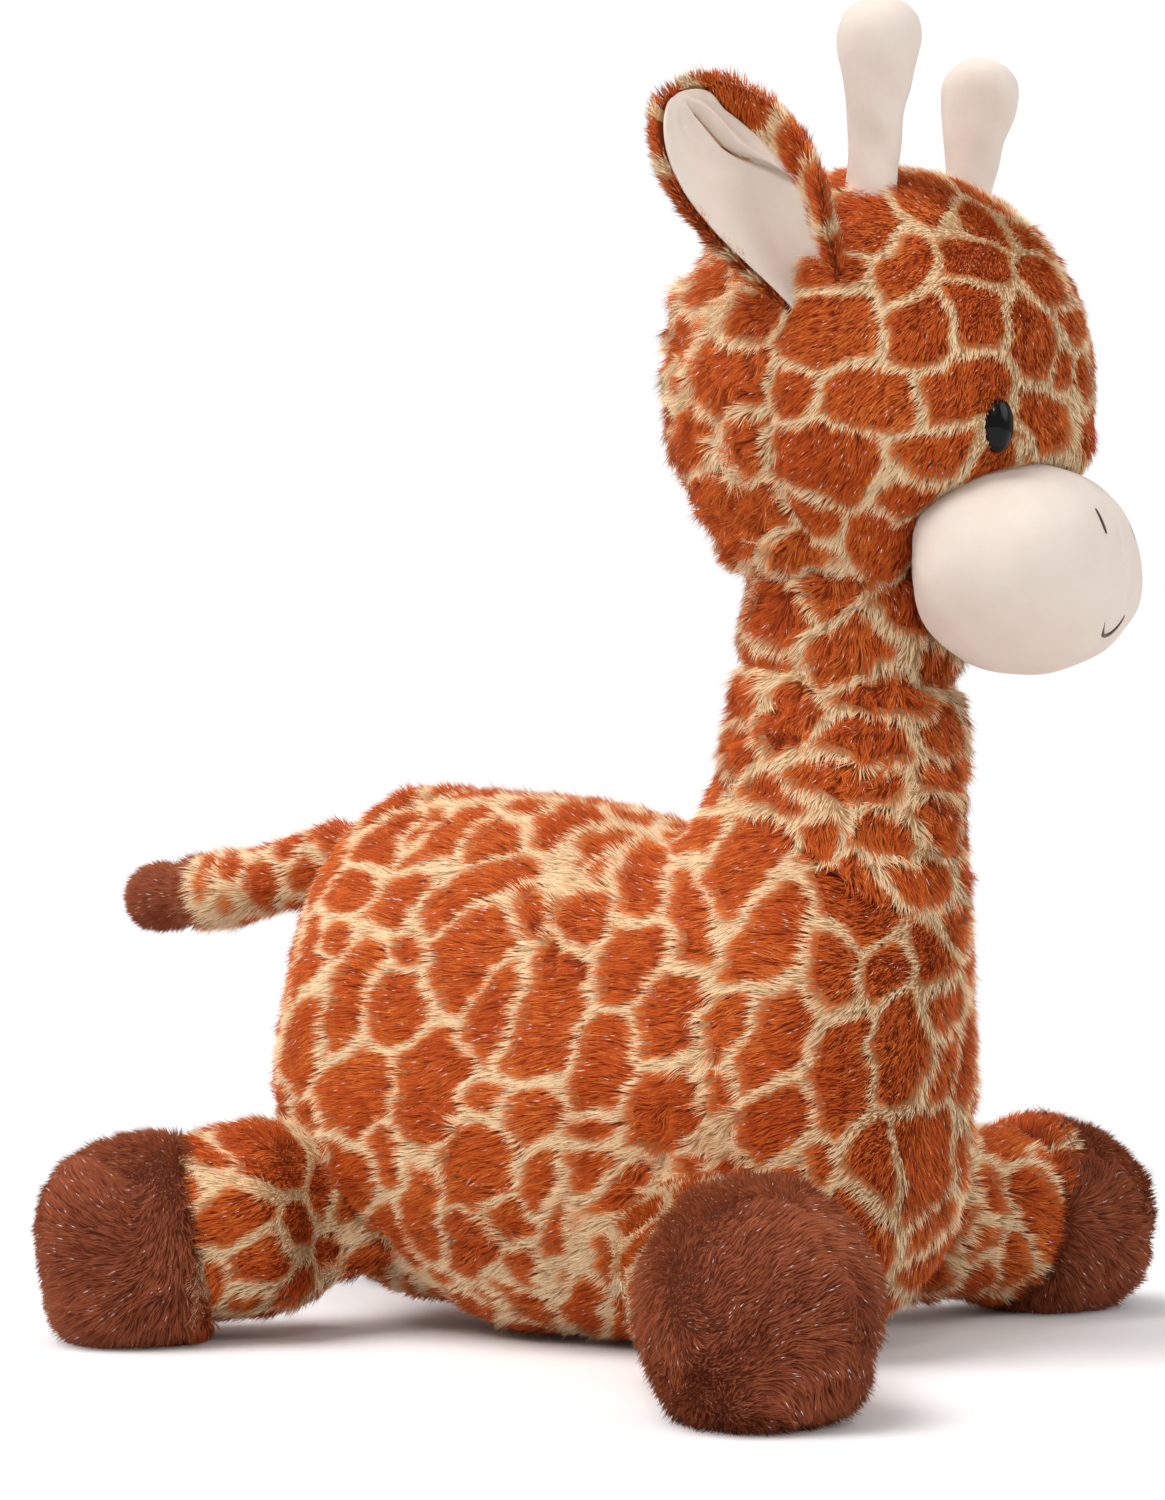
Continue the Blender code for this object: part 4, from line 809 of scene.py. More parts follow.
def torso_and_neck():
    """Stations from the rump's tip over the torso and up the neck into the head. The rump's stations are
    those of a superellipse, whose turns are given, and the neck narrows as a square towards the head."""
    row = TORSO_SHARES[0]
    back, belly = body_place(*row[:2]), body_place(*row[2:4])
    middle, half = (back + belly) / 2, (back[2] - belly[2]) / 2
    tip = at(RUMP_TIP, RUMP_TIP_HEIGHT)
    tops, bottoms, wides = [tip], [tip], [0.0]
    for turn in np.radians([7, 15, 24, 34, 45, 56, 67, 78]):
        go = math.cos(turn)
        size = (1 - go**RUMP_POWER) ** (1 / RUMP_POWER)
        centre = middle + (tip - middle) * go
        tops.append(centre + UP * half * size)
        bottoms.append(centre - UP * half * size)
        wides.append(row[4] * BODY_WIDTH / 2 * size)
    for row in TORSO_SHARES:
        tops.append(body_place(*row[:2]))
        bottoms.append(body_place(*row[2:4]))
        wides.append(row[4] * BODY_WIDTH / 2)
    seam_back, seam_belly, seam_width = tops[-1], bottoms[-1], wides[-1]
    nape, throat = at(CHEST_REACH - NECK_DEPTH, NAPE_HEIGHT), at(CHEST_REACH, THROAT_HEIGHT)
    for share in NECK_STATIONS:
        tops.append(seam_back + (nape - seam_back) * share)
        bottoms.append(seam_belly + (throat - seam_belly) * share)
        wides.append(NECK_WIDTH / 2 + (seam_width - NECK_WIDTH / 2) * max(1 - share, 0) ** 2)
    return Loft(SIDE, tops, bottoms, wides, BODY_POWER), len(tops) - len(NECK_STATIONS) - 1


def head_form():
    """Stations from the ball that sits in the neck up to the crown."""
    bottom = NOD_PIVOT - UP * NOD_BALL_RADIUS
    tops, bottoms, wides = [bottom], [bottom], [0.0]
    for edge in np.linspace(math.radians(14), NOD_BALL_EDGE, 4):
        centre, size = NOD_PIVOT - UP * NOD_BALL_RADIUS * math.cos(edge), NOD_BALL_RADIUS * math.sin(edge)
        tops.append(centre - FORWARD * size)
        bottoms.append(centre + FORWARD * size)
        wides.append(size)
    base = NOD_PIVOT[2] - NOD_BALL_RADIUS * math.cos(NOD_BALL_EDGE)
    crown = HEAD_FRONT - HEAD_DEPTH / 2
    for share, front, back, wide in HEAD_SHARES:
        height = base + share * (HEAD_TOP - base)
        tops.append(at(crown - back * HEAD_DEPTH / 2, height))
        bottoms.append(at(crown + front * HEAD_DEPTH / 2, height))
        wides.append(wide * HEAD_WIDTH / 2)
    top = at(crown, HEAD_TOP)
    return Loft(SIDE, tops + [top], bottoms + [top], wides + [0.0])


def snout_form():
    """Stations from inside the head to the snout's tip."""
    tops, bottoms, wides = [], [], []
    for go, high, wide in SNOUT_SHARES + ((1.0, 0.0, 0.0),):
        centre = at(SNOUT_SEAM + go * (SNOUT_TIP - SNOUT_SEAM), SNOUT_MIDDLE)
        tops.append(centre + UP * (SNOUT_HEIGHT / 2) * high)
        bottoms.append(centre - UP * (SNOUT_HEIGHT / 2) * high)
        wides.append(SNOUT_WIDTH / 2 * wide)
    return Loft(SIDE, tops, bottoms, wides)


def limb_form(root, out, stations):
    """A limb from rows of distance, half width and half height along its way out."""
    side = unit(np.cross(UP, out))
    up = np.cross(out, side)
    tops = [root + out * reach + up * high for reach, _, high in stations]
    bottoms = [root + out * reach - up * high for reach, _, high in stations]
    return Loft(side, tops, bottoms, [wide for _, wide, _ in stations])


def round_rows(rows):
    """Stations of a round limb, from rows of distance and radius."""
    return [(reach, size, size) for reach, size in rows]


def leg_way(side, forward, height, across, length, splay, ahead):
    """A leg's root, its way out and its length. It drops until the middle of its foot is at rest height."""
    root = at(forward, height, side * across)
    turn = math.radians(splay)
    heading = SIDE * side * math.sin(turn) + FORWARD * ahead * math.cos(turn)
    reach, drop = length - FOOT_RADIUS, root[2] - FOOT_REST
    return root, unit(heading * math.sqrt(reach**2 - drop**2) - UP * drop), length


def sleeve_form(root, out, length):
    """The sleeve swells from its flat seam to the round limb and runs on under the foot's rim."""
    rows = []
    for share in (-0.7, 0.0, 0.33, 0.67, 1.0):
        ease = max(share, 0) ** 2 * (3 - 2 * max(share, 0))
        wide = SLEEVE_SEAM_WIDE + (LEG_RADIUS - SLEEVE_SEAM_WIDE) * ease
        high = SLEEVE_SEAM_HIGH + (LEG_RADIUS - SLEEVE_SEAM_HIGH) * ease
        rows.append((share * SLEEVE_SWELL, wide, high))
    seam = length - FOOT_LENGTH
    ends = (0.5 * (SLEEVE_SWELL + seam), 1), (seam, 0.985), (seam + 0.006, 0.93)
    return limb_form(root, out, rows + round_rows([(reach, LEG_RADIUS * share) for reach, share in ends]))


def foot_form(root, out, length):
    """A round foot: a blunt end on a short wide barrel that narrows at its seam."""
    seam = length - FOOT_LENGTH
    rows = [(seam - 0.001, LEG_RADIUS * 0.90), (seam + 0.002, LEG_RADIUS * 1.03), (seam + 0.013, FOOT_RADIUS)]
    full = length - FOOT_RADIUS
    for turn in np.radians([0, 16, 32, 48, 62, 74, 83]):
        go = math.sin(turn)
        rows.append((full + go * FOOT_RADIUS, FOOT_RADIUS * (1 - go**FOOT_POWER) ** (1 / FOOT_POWER)))
    rows.append((length, 0.0))
    return limb_form(root, out, round_rows(rows))


def tail_tip_form():
    """The tail's tip: a ball's cap on a short barrel that narrows at its seam."""
    rows = [(TAIL_SEAM - 0.001, TAIL_RADIUS * 0.9), (TAIL_SEAM + 0.003, TAIL_RADIUS * 1.02)]
    for turn in np.radians([0, 20, 40, 58, 74]):
        rows.append((TAIL_LENGTH - TAIL_TIP_RADIUS * (1 - math.sin(turn)), TAIL_TIP_RADIUS * math.cos(turn)))
    return limb_form(TAIL_ROOT, TAIL_OUT, round_rows(rows + [(TAIL_LENGTH, 0.0)]))


body, seam_station = torso_and_neck()
head, snout = head_form(), snout_form()
LEGS = {word: leg_way(*row) for word, row in LEG_ROWS.items()}
legs = {word: sleeve_form(*row) for word, row in LEGS.items()}
feet = {word: foot_form(*row) for word, row in LEGS.items()}
TAIL_ROOT = at(*TAIL_PLACE)
TAIL_OUT = at(-math.cos(TAIL_DROOP), -math.sin(TAIL_DROOP))
tail = limb_form(TAIL_ROOT, TAIL_OUT, [
    (-0.012, TAIL_RADIUS, TAIL_SEAM_HIGH), (0, TAIL_RADIUS, TAIL_SEAM_HIGH),
    *round_rows([(0.018, TAIL_RADIUS), (0.06, TAIL_RADIUS), (TAIL_SEAM, TAIL_RADIUS)]),
    (TAIL_SEAM + 0.004, TAIL_RADIUS * 0.9, TAIL_RADIUS * 0.9),
])
tail_tip = tail_tip_form()


def crease(points, form, depth, width):
    """A valley where the surface of another form comes through."""
    return -depth * np.exp(-((form.outside(points) / width) ** 2))


def swell(points, centre, size, height):
    """A soft hill of this height round a centre."""
    return height * np.exp(-(np.linalg.norm(points - np.array(centre), axis=-1) / size) ** 2)


# Torso, neck and head covers

seam_share = body.at[seam_station] / body.length
torso_skin = Skin(body.grid(190, BODY_COLUMNS, 0.004, seam_share), body.profile[0, :3])
torso_skin.soften(inset=0.0030, wave=0.0016, size=0.075, draw=3)
torso_skin.move(sum(swell(torso_skin.place, *row) for row in BACK_SWELLS))
for form in list(legs.values()) + [tail]:
    torso_skin.move(crease(torso_skin.place, form, depth=0.0035, width=0.008))
torso_skin.settle(floor=0.0006)

neck_skin = Skin(body.grid(70, BODY_COLUMNS, seam_share, 1.0))
rise = neck_skin.place[..., 2] - NECK_FOLD_HEIGHT - NECK_FOLD_SLOPE * (neck_skin.place[..., 1] + 0.15)
fold = NECK_FOLD_DEPTH * np.exp(-((rise / NECK_FOLD_WIDTH) ** 2))
neck_skin.soften(inset=0.0026, wave=0.0015, size=0.045, draw=4, more=-fold)

head_skin = Skin(head.grid(120, 130, 0.006, HEAD_END), head.profile[0, :3], head.profile[-1, :3])
head_skin.soften(inset=0.0026, wave=0.0012, size=0.06, draw=5)
behind = ramp(head_skin.place[..., 1], HEAD_PANEL_SEAM, HEAD_PANEL_SEAM + 0.012)
groove = 0.0030 * np.exp(-((head_skin.place[..., 1] - HEAD_PANEL_SEAM) / 0.0035) ** 2)
head_skin.move(behind * (0.0012 + 0.0018 * ripple(head_skin.place * (1, 1, 1.6), 0.030, 6)) - groove)
head_skin.move(crease(head_skin.place, snout, depth=0.002, width=0.005))
head_skin.move(0.0035 * np.exp(-(((snout.outside(head_skin.place) - 0.012) / 0.009) ** 2)))


def section_way(points):
    """Round the torso's section: across its length."""
    return np.stack([points[:, 2] - 0.12, 0 * points[:, 0], -points[:, 0]], axis=1)


def level_way(points):
    """Level, round the head's upright axis."""
    middle = points - NOD_PIVOT
    return np.stack([-middle[:, 1], middle[:, 0], 0 * middle[:, 0]], axis=1) + 0.001


def toward(*way):
    """The same way everywhere."""
    return lambda points: np.tile(np.array(way, float), (len(points), 1))


body_print = Patches((torso_skin, neck_skin), section_way, long=0.044, short=0.029, draw=31,
                     rows=BODY_PATCHES)
head_print = Patches((head_skin,), level_way, long=0.036, short=0.026, draw=35, rows=HEAD_PATCHES)

add_skin("torso_cover", torso_skin, patterned_ground, "torso", body_print.share,
         ("torso_skin", "torso_stuffing"))
neck_span = ("torso", "head", (0, -0.148, 0.300), (0, -0.148, 0.350))
add_skin("neck_cover", neck_skin, patterned_ground, neck_span, body_print.share,
         ("neck_skin", "neck_stuffing"))
add_skin("head_cover", head_skin, patterned_ground, "head", head_print.share,
         ("head_skin", "head_stuffing"))

# Torso, neck and head pile


def clear_of(*forms, by=-0.001):
    """Keeps the roots that lie outside other forms."""
    return lambda roots: np.all([form.outside(roots) > by for form in forms], axis=0)


def sunk(word, heights):
    """How far a sleeve has sunk at these heights: not at all near the floor, and fully at its top."""
    return SLEEVE_SINKS[word] * ramp(heights, 0.045, 0.095)


def clear_of_legs(roots):
    """Keeps the torso's roots outside the sleeves, and those that a sunk sleeve has left bare."""
    found = [form.outside(roots) > -SLEEVE_OVERLAP - sunk(word, roots[:, 2]) for word, form in legs.items()]
    return np.all(found, axis=0) & clear_of(tail)(roots)


def resting(roots, outs, floor):
    """The roots that the toy lies on."""
    return (roots[:, 2] < floor) & (outs[:, 2] < -0.9)


def ruffles(roots):
    """How ruffled the torso's pile is: most in the folds beside the legs, and here and there."""
    close = np.min([abs(form.outside(roots)) for form in legs.values()], axis=0)
    return np.clip(0.7 * ramp(-close, -0.022, -0.004) + 0.6 * ramp(ripple(roots, 0.07, 55), 0.5, 1.4), 0, 1)


roots, outs = torso_skin.sample(STRANDS["torso"], draw=41, keep=clear_of_legs)
lying = resting(roots, outs, floor=0.003)
roots, outs = roots[~lying], outs[~lying]
for name, low, high in TORSO_PILES:
    part = (-roots[:, 1] >= low) & (-roots[:, 1] < high)
    add_pile(name, roots[part], outs[part], toward(0, 1, -0.25), PILE_LENGTH, patterned, "torso",
             draw=50, patches=body_print, wild=ruffles)
roots, outs = neck_skin.sample(STRANDS["neck"], draw=42, keep=clear_of(head, by=-0.004))
add_pile("neck_pile", roots, outs, toward(0, 0.35, -1), NECK_PILE_LENGTH, patterned, neck_span,
         draw=52, patches=body_print,
         wild=lambda p: 0.55 + 0.35 * ripple(p, 0.04, 56).clip(-1, 1))


def cheek_way(points):
    """Back from the snout over the brow and down the cheeks."""
    away = points - np.array([0, -0.26, 0.40])
    return away * 0.6 + np.array([0, 0.03, -0.10])


def head_length(roots):
    """Shorter pile round the eyes and on the brow, longer at the back and under the jaw."""
    long = 0.0068 + 0.0030 * ramp(roots[:, 1], HEAD_PANEL_SEAM, HEAD_PANEL_SEAM + 0.02)
    for eye in EYES:
        long = long * (0.45 + 0.55 * ramp(np.linalg.norm(roots - eye, axis=1), 0.009, 0.022))
    return long * (0.55 + 0.45 * ramp(snout.outside(roots), 0.0, 0.010))


def on_head(roots):
    """Keeps the roots outside the snout and the eyes, and above the ball that sits in the neck."""
    near_eye = np.min([np.linalg.norm((roots - eye) / (1, 1, 1.45), axis=1) for eye in EYES], axis=0)
    return clear_of(snout)(roots) & (near_eye > 0.0066) & (roots[:, 2] > 0.318)


def head_ruffles(roots):
    """The head is ruffled behind the seam of its face."""
    return 0.85 * ramp(roots[:, 1], HEAD_PANEL_SEAM - 0.004, HEAD_PANEL_SEAM + 0.010)


roots, outs = head_skin.sample(STRANDS["head"], draw=43, keep=on_head)
for name, part in (("head_pile_right", roots[:, 0] < 0), ("head_pile_left", roots[:, 0] >= 0)):
    add_pile(name, roots[part], outs[part], cheek_way, head_length, patterned, "head",
             draw=54, patches=head_print, wild=head_ruffles)

# Snout

snout_skin = Skin(snout.grid(90, 120, 0.0, HEAD_END), None, snout.profile[-1, :3])
dent = np.exp(-((snout_skin.place[..., 0] / 0.0012) ** 2)) * ramp(-snout_skin.place[..., 1], 0.21, 0.25)
snout_skin.soften(inset=0, wave=0.0006, size=0.03, draw=8, more=-0.0004 * dent)
add_skin("snout_cover", snout_skin, cream, "head", None,
         ("snout_skin", "snout_stuffing"))

# Legs and feet


def tucked(skin, depth, floor=0.0010):
    """Draws a skin in by a depth, but not where it rests, so that its pile stands where the solid ends."""
    skin.move(-depth * (1 - ramp(-skin.out[..., 2], 0.2, 0.8)))
    skin.settle(floor)


for number, (word, (root, out, length)) in enumerate(LEGS.items()):
    body_name = f"leg_{word}"
    sleeve = Skin(legs[word].grid(60, 72))
    sleeve.soften(inset=0, wave=0.0012, size=0.045, draw=12 + number)
    tucked(sleeve, depth=0.0030)
    sleeve.place[..., 2] -= sunk(word, sleeve.place[..., 2])
    sleeve.measure()
    foot = Skin(feet[word].grid(64, 84, 0.0, LIMB_END), None, feet[word].profile[-1, :3])
    foot.soften(inset=0, wave=0.0012, size=0.05, draw=16 + number)
    tucked(foot, depth=0.0058)
    leg_print = Patches((sleeve,), toward(*out), long=0.030, short=0.025, draw=60 + number,
                        rows=LEG_PATCHES.get(word, ()))
    add_skin(f"leg_sleeve_cover_{word}", sleeve, patterned_ground, body_name,
             leg_print.share, (f"leg_sleeve_{word}", f"leg_stuffing_{word}"))
    add_skin(f"foot_cover_{word}", foot, brown_ground, body_name, dyed_through,
             (f"foot_{word}",))
    seam = root + out * (length - FOOT_LENGTH)
    square = out + UP * SEAM_TILTS[word]
    roots, outs = sleeve.sample(STRANDS["sleeve"], draw=70 + number, keep=clear_of(body, by=-0.0055))
    kept = (roots - seam) @ out < 0.0
    foot_roots, foot_outs = foot.sample(STRANDS["foot"], draw=78 + number)
    shown = ((foot_roots - seam) @ out > 0.0005) & ~resting(foot_roots, foot_outs, floor=0.002)
    roots = np.concatenate([roots[kept], foot_roots[shown]])
    outs = np.concatenate([outs[kept], foot_outs[shown]])
    on_foot = (roots - seam - out * 0.004) @ square > 0.0012 * ripple(roots, 0.02, 80)
    add_pile(f"leg_pile_{word}", roots[~on_foot], outs[~on_foot], toward(*out), PILE_LENGTH, patterned,
             body_name, draw=74 + number, patches=leg_print,
             wild=lambda p: 0.5 * ramp(ripple(p, 0.05, 57), 0.2, 1.2))
    swirl = lambda p, out=out: out * 0.6 + 0.7 * np.stack([ripple(p, 0.09, 81 + k) for k in range(3)], -1)
    add_pile(f"foot_pile_{word}", roots[on_foot], outs[on_foot], swirl, FOOT_PILE_LENGTH, brown, body_name,
             draw=82 + number, lift=(58, 36), turned=1.0, clump=0.10, stray=0.30, width=0.0005)

# Tail

tail_skin = Skin(tail.grid(50, 40))
tip_skin = Skin(tail_tip.grid(40, 40, 0, LIMB_END), None, tail_tip.profile[-1, :3])
for skin, depth in ((tail_skin, 0.0), (tip_skin, 0.0042)):
    near = ramp(-(skin.place - TAIL_ROOT) @ TAIL_OUT, -0.075, 0.0)[..., None]
    skin.place = skin.place + UP * TAIL_LIFT * near
    skin.soften(inset=depth, wave=0.0006, size=0.03, draw=21)
tail_print = Patches((tail_skin,), toward(*TAIL_OUT), long=0.026, short=0.024, draw=23, rows=TAIL_PATCHES)
add_skin("tail_cover", tail_skin, patterned_ground, "tail", tail_print.share,
         ("tail_sleeve", "tail_stuffing"))
add_skin("tail_tip_cover", tip_skin, brown_ground, "tail", dyed_through,
         ("tail_tip",))
roots, outs = tail_skin.sample(STRANDS["tail"], draw=90, keep=clear_of(body, by=-0.005))
reach = (roots - TAIL_ROOT) @ TAIL_OUT
kept, dyed = reach < TAIL_SEAM - 0.012, (reach > TAIL_SEAM - 0.012) & (reach < TAIL_SEAM)
add_pile("tail_pile", roots[kept], outs[kept], toward(*TAIL_OUT), PILE_LENGTH, patterned, "tail",
         draw=92, patches=tail_print)
tip_roots, tip_outs = tip_skin.sample(STRANDS["tail_tip"], draw=91)
roots, outs = np.concatenate([roots[dyed], tip_roots]), np.concatenate([outs[dyed], tip_outs])
add_pile("tail_tip_pile", roots, outs, toward(*TAIL_OUT), TAIL_TIP_PILE_LENGTH, brown, "tail",
         draw=93, lift=(58, 38), turned=1.0, clump=0.12)

# Horns

for side, word in SIDES:
    root = at(HORN_PLACE[0], HORN_PLACE[1], side * HORN_PLACE[2])
    out = unit(at(math.tan(HORN_LEAN), 1, side * math.tan(HORN_SPREAD)))
    across = unit(np.cross(FORWARD, out))
    fore = np.cross(out, across)
    tops = [root + out * share * HORN_LENGTH + fore * size for share, size in HORN_PROFILE]
    bottoms = [root + out * share * HORN_LENGTH - fore * size for share, size in HORN_PROFILE]
    horn = Loft(across, tops, bottoms, [size for _, size in HORN_PROFILE])
    horn_skin = Skin(horn.grid(70, 48, 0, LIMB_END), None, horn.profile[-1, :3])
    horn_skin.soften(inset=0, wave=0.0004, size=0.02, draw=24)
    add_skin(f"horn_cover_{word}", horn_skin, cream, f"horn_{word}", None,
             (f"horn_skin_{word}", f"horn_stuffing_{word}"))

# Ears


def ear_frame(side):
    """Root point, the way out to the tip, the seam's direction, and the way the lining faces."""
    root = at(EAR_PLACE[0], EAR_PLACE[1], side * EAR_PLACE[2])
    level = at(-math.cos(EAR_TURN), 0, side * math.sin(EAR_TURN))
    out = level * math.cos(EAR_RISE) + UP * math.sin(EAR_RISE)
    face = at(math.cos(EAR_FACE_TURN), 0, side * math.sin(EAR_FACE_TURN))
    face = unit(face - out * (face @ out))
    return root, out, np.cross(out, face) * side, face


def ear_leaf(side, along, share, inset, lift):
    """A point of the ear's leaf. Its half width swells to the widest place and rounds off to the tip. It
    rises a little towards its rear edge, and its front edge is rolled forward: from the place where the
    roll starts, the leaf follows an arc whose length is the width that is left."""
    root, out, across, face = ear_frame(side)
    t = np.clip(along / EAR_WIDEST, -1, 1)
    low = EAR_ROOT_HALF + (EAR_HALF - EAR_ROOT_HALF) * np.sin(t * math.pi / 2)
    t = np.clip((along - EAR_WIDEST) / (1 - EAR_WIDEST), 0, 1)
    half = np.where(along < EAR_WIDEST, low, EAR_HALF * np.sqrt(np.maximum(1 - t**2.2, 0)))
    half = np.maximum(half - inset * (0.3 + 0.7 * (share > 0)), 0.0012)
    start = 0.42 - 0.72 * ramp(along, 0.0, 0.9)
    bend = 2.75 - 1.35 * ramp(along, 0.1, 0.9)
    left = np.minimum(share - start, 0) * -half
    radius = (1 + start) * half / bend
    angle = left / radius
    sideways = np.maximum(share, start) * half - radius * np.sin(angle) - 0.4 * (start + 0.4) * half
    rise = 0.011 * np.clip(share, 0, 1) ** 2 * half / EAR_HALF + radius * (1 - np.cos(angle))
    sideways, rise = sideways + lift * np.sin(angle), rise + lift * np.cos(angle)
    lengths = (along * (EAR_LENGTH - inset))[..., None]
    return root + out * lengths + across * sideways[..., None] + face * rise[..., None]


def lining_edge(along):
    """Where the lining ends towards the ear's front edge, as a share of the half width."""
    return -0.60 - 0.28 * ramp(along, 0.80, 0.98)


def ear_skin(side, inset, low, high, rows=70, columns=96, lining=False):
    """A closed flat skin between two lifts off the leaf: round its edge, over its face and back. The
    lining is narrower, and has a crease that runs down it and out to its front edge."""
    along = np.sin(np.linspace(0, math.pi / 2, rows - 2)) * LIMB_END
    along = np.concatenate([[-0.12, -0.06], along])[:, None]
    turn = (np.arange(columns) / columns * FULL_TURN)[None]
    share = np.sign(np.cos(turn)) * abs(np.cos(turn)) ** 0.7 + 0 * along
    bulge = np.sign(np.sin(turn)) * abs(np.sin(turn)) ** 0.6
    lift = (low + high) / 2 + (high - low) / 2 * bulge + 0 * along
    if lining:
        share = lining_edge(along) + (share + 1) / 2 * (1 - lining_edge(along))
        line = share + 0.16 + 0.44 * ramp(-along, -0.70, -0.33)
        deep = -0.0050 * np.exp(-((line / 0.045) ** 2)) + 0.0034 * np.exp(-(((line + 0.15) / 0.11) ** 2))
        deep = deep - 0.0030 * np.exp(-(((line - 0.30) / 0.20) ** 2)) * ramp(along, 0.45, 0.75)
        lift = lift + deep * ramp(along, 0.30, 0.40) * ramp(-along, -0.97, -0.86) * (np.sin(turn) > 0.2)
    skin = Skin(ear_leaf(side, along + 0 * share, share, inset, lift))
    inner = (share < 0.93) & (share > lining_edge(along) + 0.05)
    skin.lined = ((np.sin(turn) > 0.3) & inner & (along < 0.965)).astype(float)
    return skin


for number, (side, word) in enumerate(SIDES):
    root, out, across, _ = ear_frame(side)
    back = ear_skin(side, inset=0.0, low=-0.0045, high=-0.0002)
    lining = ear_skin(side, inset=0.0012, low=-0.0003, high=0.0032, rows=110, columns=160, lining=True)
    ear_print = Patches((back,), toward(*out), long=0.034, short=0.026, draw=26 + number)
    add_skin(f"ear_back_cover_{word}", back, patterned_ground, f"ear_{word}",
             ear_print.share, (f"ear_back_{word}",))
    add_skin(f"ear_lining_cover_{word}", lining, cream, f"ear_{word}", None,
             (f"ear_lining_{word}",))
    roots, outs, lined = back.sample(STRANDS["ear"], draw=96 + number, keep=clear_of(head), extra=back.lined)
    roots, outs = roots[lined < 0.5], outs[lined < 0.5]
    spread = lambda p, root=root, out=out, across=across: out + across * ((p - root) @ across / 0.04)[:, None]
    add_pile(f"ear_pile_{word}", roots, outs, spread, EAR_PILE_LENGTH, patterned, f"ear_{word}",
             draw=98 + number, patches=ear_print, lift=(46, 24))

# Eyes


def eye_dome(side, eye):
    """A smooth oval dome on the eye's stem: an ellipse in outline, and round in profile."""
    out = unit(np.array([side * 0.44, -0.88, -0.02]))
    across = unit(np.cross(UP, out))
    up = np.cross(out, across)
    turns = np.linspace(0, math.pi / 2, 18)[:, None]
    around = (np.arange(40) / 40 * FULL_TURN)[None]
    points = (
        eye + out * 0.0004
        + out * (np.sin(turns) * EYE_DEPTH + 0 * around)[..., None]
        + across * (np.cos(turns) * np.cos(around) * EYE_HALF_WIDE)[..., None]
        + up * (np.cos(turns) * np.sin(around) * EYE_HALF_HIGH)[..., None]
    )
    rim = points[:1] - out * 0.0035
    return Skin(np.concatenate([rim, points[:-1]]), None, points[-1, 0])


for (side, word), eye in zip(SIDES, EYES):
    add_skin(f"eye_dome_{word}", eye_dome(side, eye), eye_black, "head", None,
             (f"eye_{word}",))
    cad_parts[f"eye_washer_{word}"].material_slots[0].material = washer_white

# Stitches


def snout_front(across, rise):
    """The snout's front at this distance across and above its middle, found by halving."""
    near, far = np.full(np.shape(rise), SNOUT_SEAM + 0.03), np.full(np.shape(rise), SNOUT_TIP + 0.004)
    for _ in range(24):
        reach = (near + far) / 2
        within = snout.outside(np.stack([across, -reach, SNOUT_MIDDLE + rise], axis=-1)) < 0
        near, far = np.where(within, reach, near), np.where(within, far, reach)
    return np.stack([across, -near, SNOUT_MIDDLE + rise], axis=-1)


def stitch(name, path, thick, node):
    """A round thread along a path, thinner at its ends."""
    steps = unit(np.gradient(path, axis=0))
    side = unit(np.cross(steps, FORWARD))
    lift = np.cross(side, steps)
    around = (np.arange(10) / 10 * FULL_TURN)[None, :, None]
    ends = np.sqrt(np.clip(1 - np.linspace(-1, 1, len(path)) ** 2, 0.02, 1))[:, None, None]
    ring = side[:, None] * np.cos(around) + lift[:, None] * np.sin(around)
    thread_skin = Skin(path[:, None] + ring * thick * ends**0.6)
    add_skin(name, thread_skin, dark_thread, "head", None, (node,))


share = np.linspace(-1, 1, 24)
for side, word in SIDES:
    rise = NOSTRIL_RISE + share * NOSTRIL_HALF_HIGH
    across = side * NOSTRIL_ACROSS - (rise - NOSTRIL_RISE) * 0.25
    stitch(f"nostril_thread_{word}", snout_front(across, rise), 0.0006, f"nostril_stitch_{word}")
rise = SMILE_RISE - SMILE_DEPTH * (1 - share**2)
stitch("smile_thread", snout_front(share * SMILE_HALF_WIDE, rise), 0.0009, "smile_stitch")

# Floor


def floor_finish():
    """A white floor that keeps the toy's shadow near it and fades to plain white further out."""
    finish = Finish("studio_floor", Roughness=0.9, Specular_IOR_Level=0.0)
    far = finish.node("ShaderNodeVectorMath", {"operation": "LENGTH"}, {0: finish.places()}, output="Value")
    camera_ray = finish.node("ShaderNodeLightPath", output="Is Camera Ray")
    finish.feed(Base_Color=finish.mix(camera_ray, (0.84, 0.82, 0.81, 1), (0.955, 0.945, 0.945, 1)))
    fade = finish.clamp(far, 0.30, 0.75) * camera_ray
    white = finish.node("ShaderNodeEmission", None, {"Color": WHITE, "Strength": 1.0})
    lit = Value(finish, finish.shader.outputs[0])
    mixed = finish.node("ShaderNodeMixShader", None, {0: fade, 1: lit, 2: white})
    output = finish.tree.nodes["Material Output"]
    finish.tree.links.new(mixed.socket, output.inputs["Surface"])
    return finish.material


corners = np.array([[-1, -1, 0], [1, -1, 0], [1, 1, 0], [-1, 1, 0]], float) * FLOOR_HALF
floor_mesh = bpy.data.meshes.new("floor")
floor_mesh.from_pydata(corners, [], [(0, 1, 2, 3)])
floor_mesh.materials.append(floor_finish())
floor = bpy.data.objects.new("floor", floor_mesh)
bpy.context.scene.collection.objects.link(floor)

# Light and camera


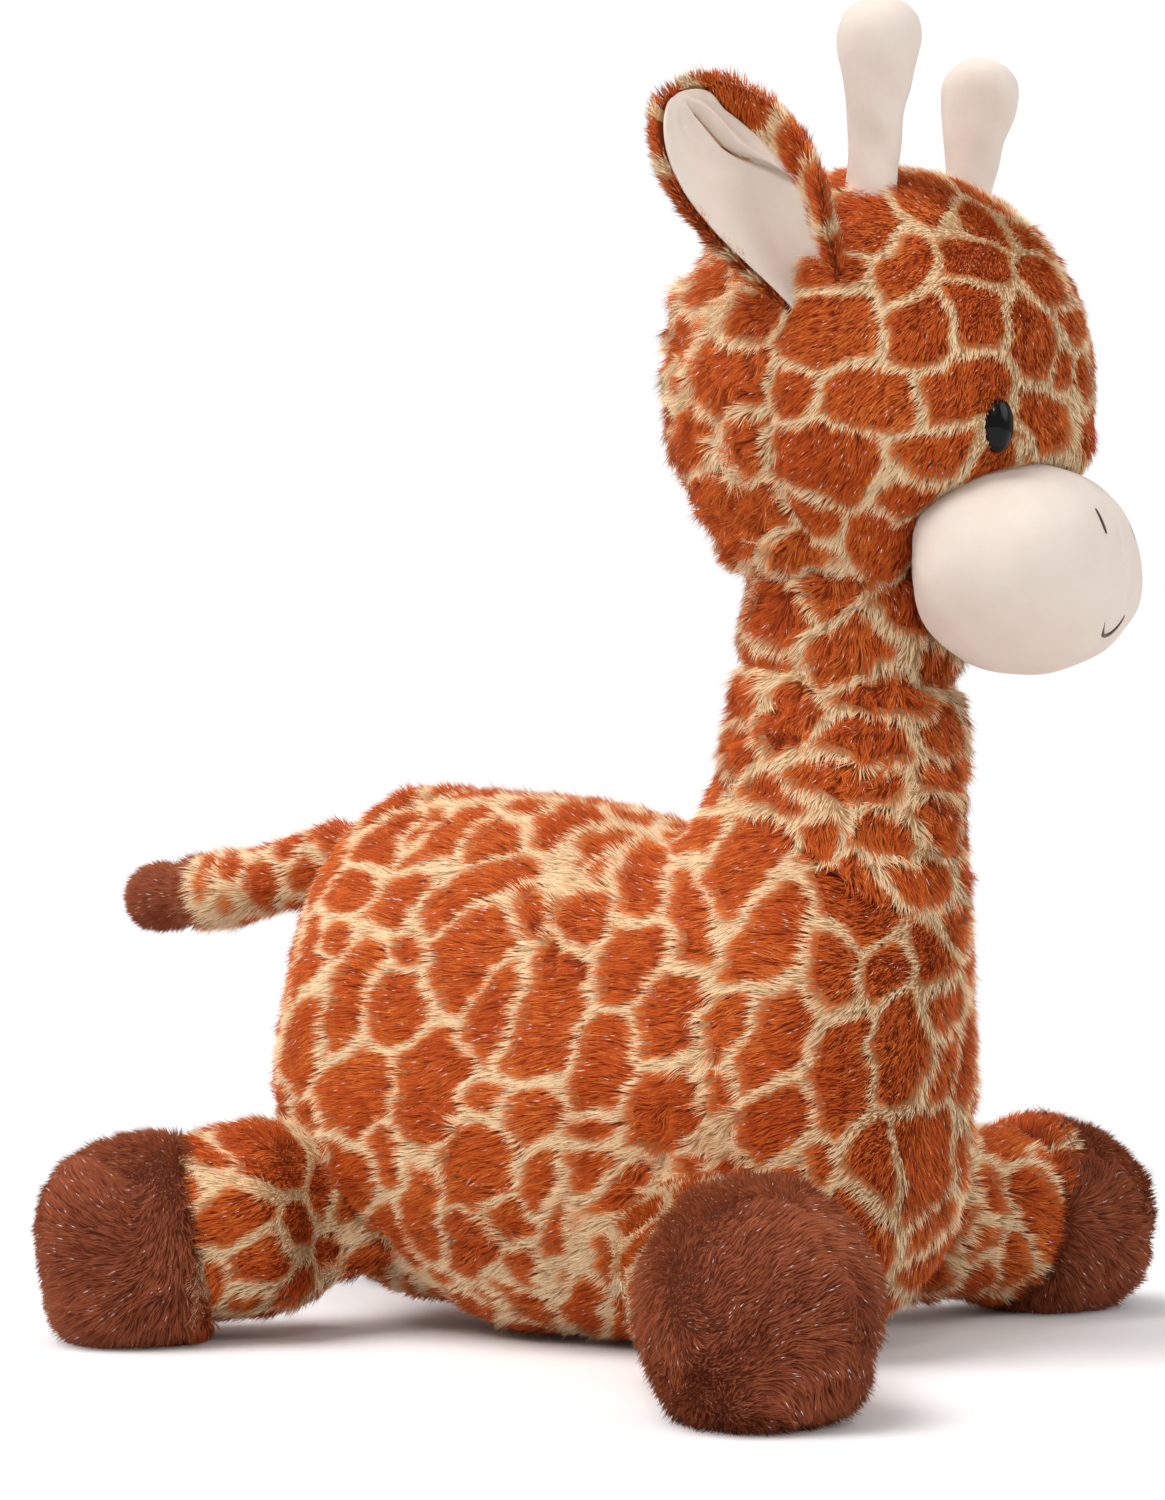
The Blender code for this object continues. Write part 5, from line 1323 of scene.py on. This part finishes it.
class Sky(Finish):
    """The world's light: pale all round, with soft boxes, and plain white to the camera."""

    def __init__(self, name):
        self.world = bpy.data.worlds.new(name)
        self.world.use_nodes = True
        self.tree = self.world.node_tree
        self.shader = self.tree.nodes["Background"]
        self.shader.inputs["Color"].default_value = WHITE

    def soft_box(self, way, strength, inner=12, outer=25):
        """A round soft box that is even up to the inner angle and fades out at the outer one."""
        seen = self.node("ShaderNodeTexCoord", output="Generated")
        sockets = {0: seen, 1: tuple(unit(np.array(way)).tolist())}
        facing = self.node("ShaderNodeVectorMath", {"operation": "DOT_PRODUCT"}, sockets, output="Value")
        low, high = (math.cos(math.radians(angle)) for angle in (outer, inner))
        sockets = {"Value": facing, "From Min": low, "From Max": high, "To Max": strength}
        return self.node("ShaderNodeMapRange", {"clamp": True, "interpolation_type": "SMOOTHSTEP"}, sockets)


sky = Sky("studio")
glow = sum(sky.soft_box(*row) for row in SOFT_BOXES) + SKY_LEVEL
camera_ray = sky.node("ShaderNodeLightPath", output="Is Camera Ray")
strength = sky.node("ShaderNodeMix", {"data_type": "FLOAT"}, {0: camera_ray, 2: glow, 3: 1.0})
sky.tree.links.new(strength.socket, sky.shader.inputs["Strength"])
bpy.context.scene.world = sky.world


def add_lamp(name, place, aim, size, power):
    """A soft square lamp at a place, turned to what it lights."""
    data = bpy.data.lights.new(name, "AREA")
    data.size, data.energy = size, power
    lamp = bpy.data.objects.new(name, data)
    lamp.location = place
    lamp.rotation_euler = (Vector(aim) - Vector(place)).to_track_quat("-Z", "Y").to_euler()
    bpy.context.scene.collection.objects.link(lamp)


add_lamp("front_lamp", place=(-1.7, -1.0, 1.9), aim=(0, 0, 0.25), size=0.32, power=5)

camera_data = bpy.data.cameras.new("camera")
camera_data.sensor_fit, camera_data.sensor_height, camera_data.lens = "VERTICAL", 36.0, 73.8
camera = bpy.data.objects.new("camera", camera_data)
camera.location = CAMERA_PLACE
camera.rotation_euler = (math.radians(90 + CAMERA_RISE), 0, math.radians(CAMERA_TURN))
bpy.context.scene.collection.objects.link(camera)
bpy.context.scene.camera = camera
bpy.context.scene.view_settings.view_transform = "Standard"
